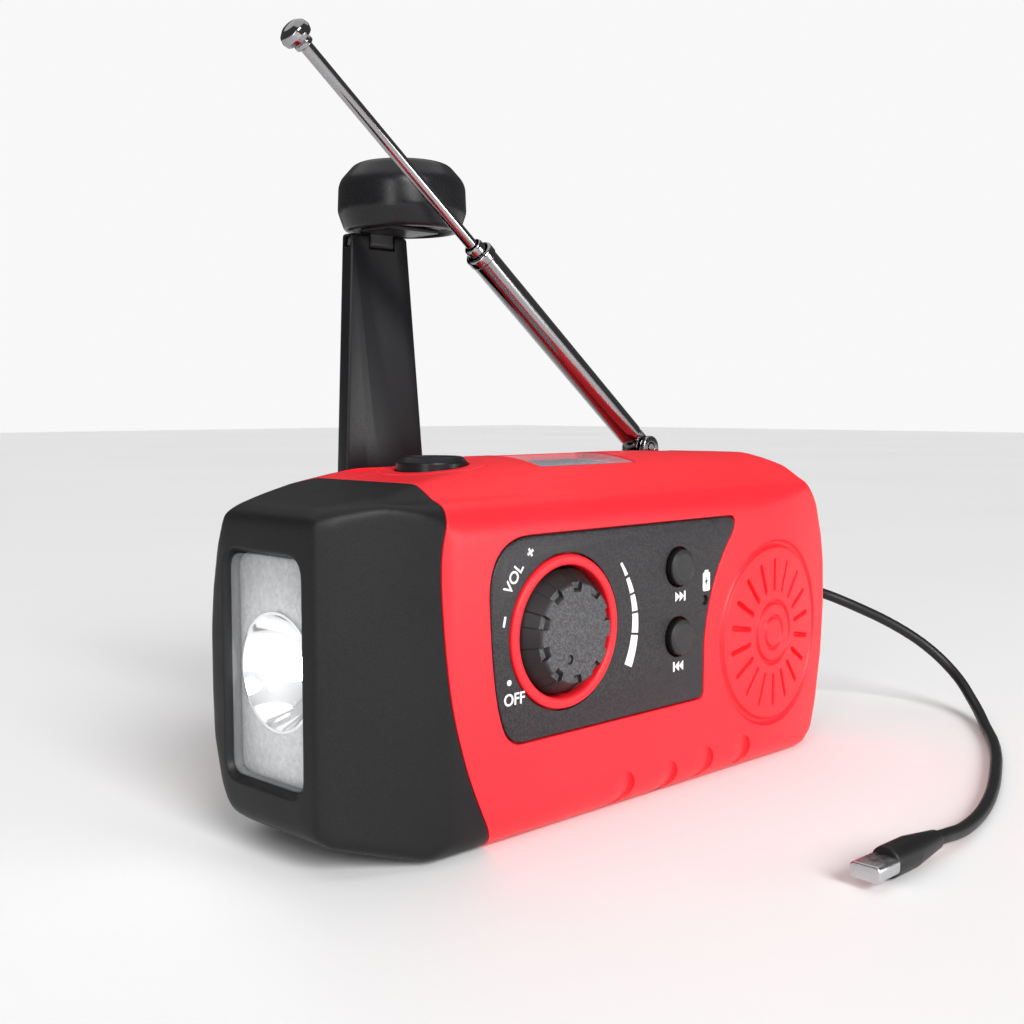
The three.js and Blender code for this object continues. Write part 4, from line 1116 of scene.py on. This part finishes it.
upper_profile = filleted((0, TUBE - 4), (1.07, TUBE - 4, 0.2), (1.07, ROD - 3.05, 0.1), (0, ROD - 3.05))
upper = turned("upper", "z", upper_profile, sides=64)
piece(leaned(upper), "mast_rod", CHROME, "antenna_end", ["antenna_rod"])
tip_profile = filleted(
    (0, ROD - 3.1), (1.55, ROD - 3.1, 0.15), (1.55, ROD - 2.35, 0.2), (1.3, ROD - 2.15, 0.1),
    (2.35, ROD - 1.7, 0.25), (2.6, ROD - 0.9, 0.45), (2.35, ROD + 0.1, 0.5), (1.4, ROD + 0.8, 0.5),
    (0, ROD + 0.98))
tip = turned("tip", "z", tip_profile, sides=96)
piece(leaned(tip), "mast_tip", CHROME, "antenna_end", ["antenna_tip"], crease=40)

# ---------- charging lead ----------
CORD_DIAMETER, CORD_LENGTH = 2.2, 148.0
CORD_EXIT = (77.3, -2.0, 26.5)
CORD_ROUTE = [
    CORD_EXIT, (80, -2.3, 26.3), (83.4, -4.2, 25.2), (87.6, -8, 22.9), (93.6, -12.6, 19.4),
    (98, -16.8, 15.9), (100.8, -20.3, 12.6), (102.2, -23.5, 9.4), (101.8, -26.9, 6.4), (99.3, -30.4, 3.9),
    (94.2, -34.8, 2.2), (86.4, -40, 1.4), (76.3, -46.4, 1.2), (66, -51.9, 1.2), (56, -56.5, 1.2),
    (46.4, -60.6, 1.2), (37.2, -64, 1.2), (28.2, -66.6, 1.2), (19.4, -68.4, 1.6), (13, -69, 2.3),
    (9.6, -69.1, 2.6),
]
line = bpy.data.curves.new("lead", "CURVE")
line.dimensions = "3D"
line.bevel_depth = CORD_DIAMETER / 2 * MM
line.bevel_resolution = 6
line.use_fill_caps = True
route = through(CORD_ROUTE, 8)
spline = line.splines.new("POLY")
spline.points.add(len(route) - 1)
for point, place in zip(spline.points, route):
    point.co = (*(c * MM for c in place), 1)
spline.use_smooth = True
lead = linked("lead", line)
line.materials.append(CORD_SKIN)
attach(lead, "case")
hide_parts("charge_cord")

PLUG_Y, PLUG_Z = -2.0, 26.5
plug = box("body", (64.8, 72), (PLUG_Y - 6.4, PLUG_Y + 6.4), (PLUG_Z - 3.4, PLUG_Z + 3.4), 2.2, 0.6, axis="x")
relief_rings = [(0, 71.8), (2.0, 71.8)]
for k in range(4):
    x = 72.2 + 1.2 * k
    rib, neck = 2.0 - 0.12 * k, 1.5 - 0.08 * k
    relief_rings += [(rib, x, 0.1), (rib, x + 0.7, 0.1), (neck, x + 0.75, 0.1), (neck, x + 1.15, 0.1)]
relief_rings += [(1.55, 77.0, 0.1), (1.15, 77.1, 0), (0, 77.1)]
fuse(plug, turned("relief", "x", filleted(*relief_rings, steps=2), (0, PLUG_Y, PLUG_Z), 48))
piece(plug, "lead_plug", CORD_SKIN, "case", ["usb_plug"])
shell = box("shell", (58, 65), (PLUG_Y - 5.6, PLUG_Y + 5.6), (PLUG_Z - 2.1, PLUG_Z + 2.1), 0.5, 0.2, axis="x")
piece(shell, "lead_plug_shell", STEEL, "case")

END = Vector(CORD_ROUTE[-1])
boot = filleted((0, -15.0), (2.4, -15.0, 0.6), (2.4, -8.4, 1.0), (1.45, -0.3, 0.3), (0, -0.3))
connector = turned("connector", "x", boot, END, 64)
piece(connector, "lead_connector", CORD_SKIN, "case", ["device_connector"])
blade = box("blade", (END.x - 20.5, END.x - 14.8), (END.y - 2.4, END.y + 2.4), (END.z - 1.2, END.z + 1.2),
            0.9, 0.25, axis="x")
piece(blade, "lead_connector_blade", STEEL, "case")

# ---------- CAD nodes that stay ----------
CARRIED = {
    STEEL: ["volume_potentiometer", "next_switch", "previous_switch", "speaker_driver", "generator",
            "gear_plate", "idler_pin", "crank_shaft", "knob_hinge_pin", "charge_socket", "lamp_switch"],
    CHROME: ["antenna_pin"],
    BRASS: ["crank_bush"],
    WHITE: ["drive_gear", "idler_gear", "generator_pinion"],
    BOARD: ["lamp_board", "main_board"],
    FILM: ["battery_pack"],
    INDICATOR: ["charge_indicator"],
}
for material, names in CARRIED.items():
    for name in names:
        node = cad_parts[name]
        node.data.materials.clear()
        node.data.materials.append(material)

# ---------- floor ----------
floor_nodes = Nodes("floor")
floor_shade = floor_nodes.mix(floor_nodes.span(floor_nodes.noise(3), 0, 1), (0.9, 0.9, 0.9), (0.93, 0.93, 0.93))
floor_material = floor_nodes.done(floor_shade, 0.6)
WIDE = 3000
floor = raw("floor", [(-WIDE, -WIDE, 0), (WIDE, -WIDE, 0), (WIDE, WIDE, 0), (-WIDE, WIDE, 0)], [(0, 1, 2, 3)])
floor.data.transform(Matrix.Scale(MM, 4))
floor.data.materials.append(floor_material)

bpy.context.view_layer.update()
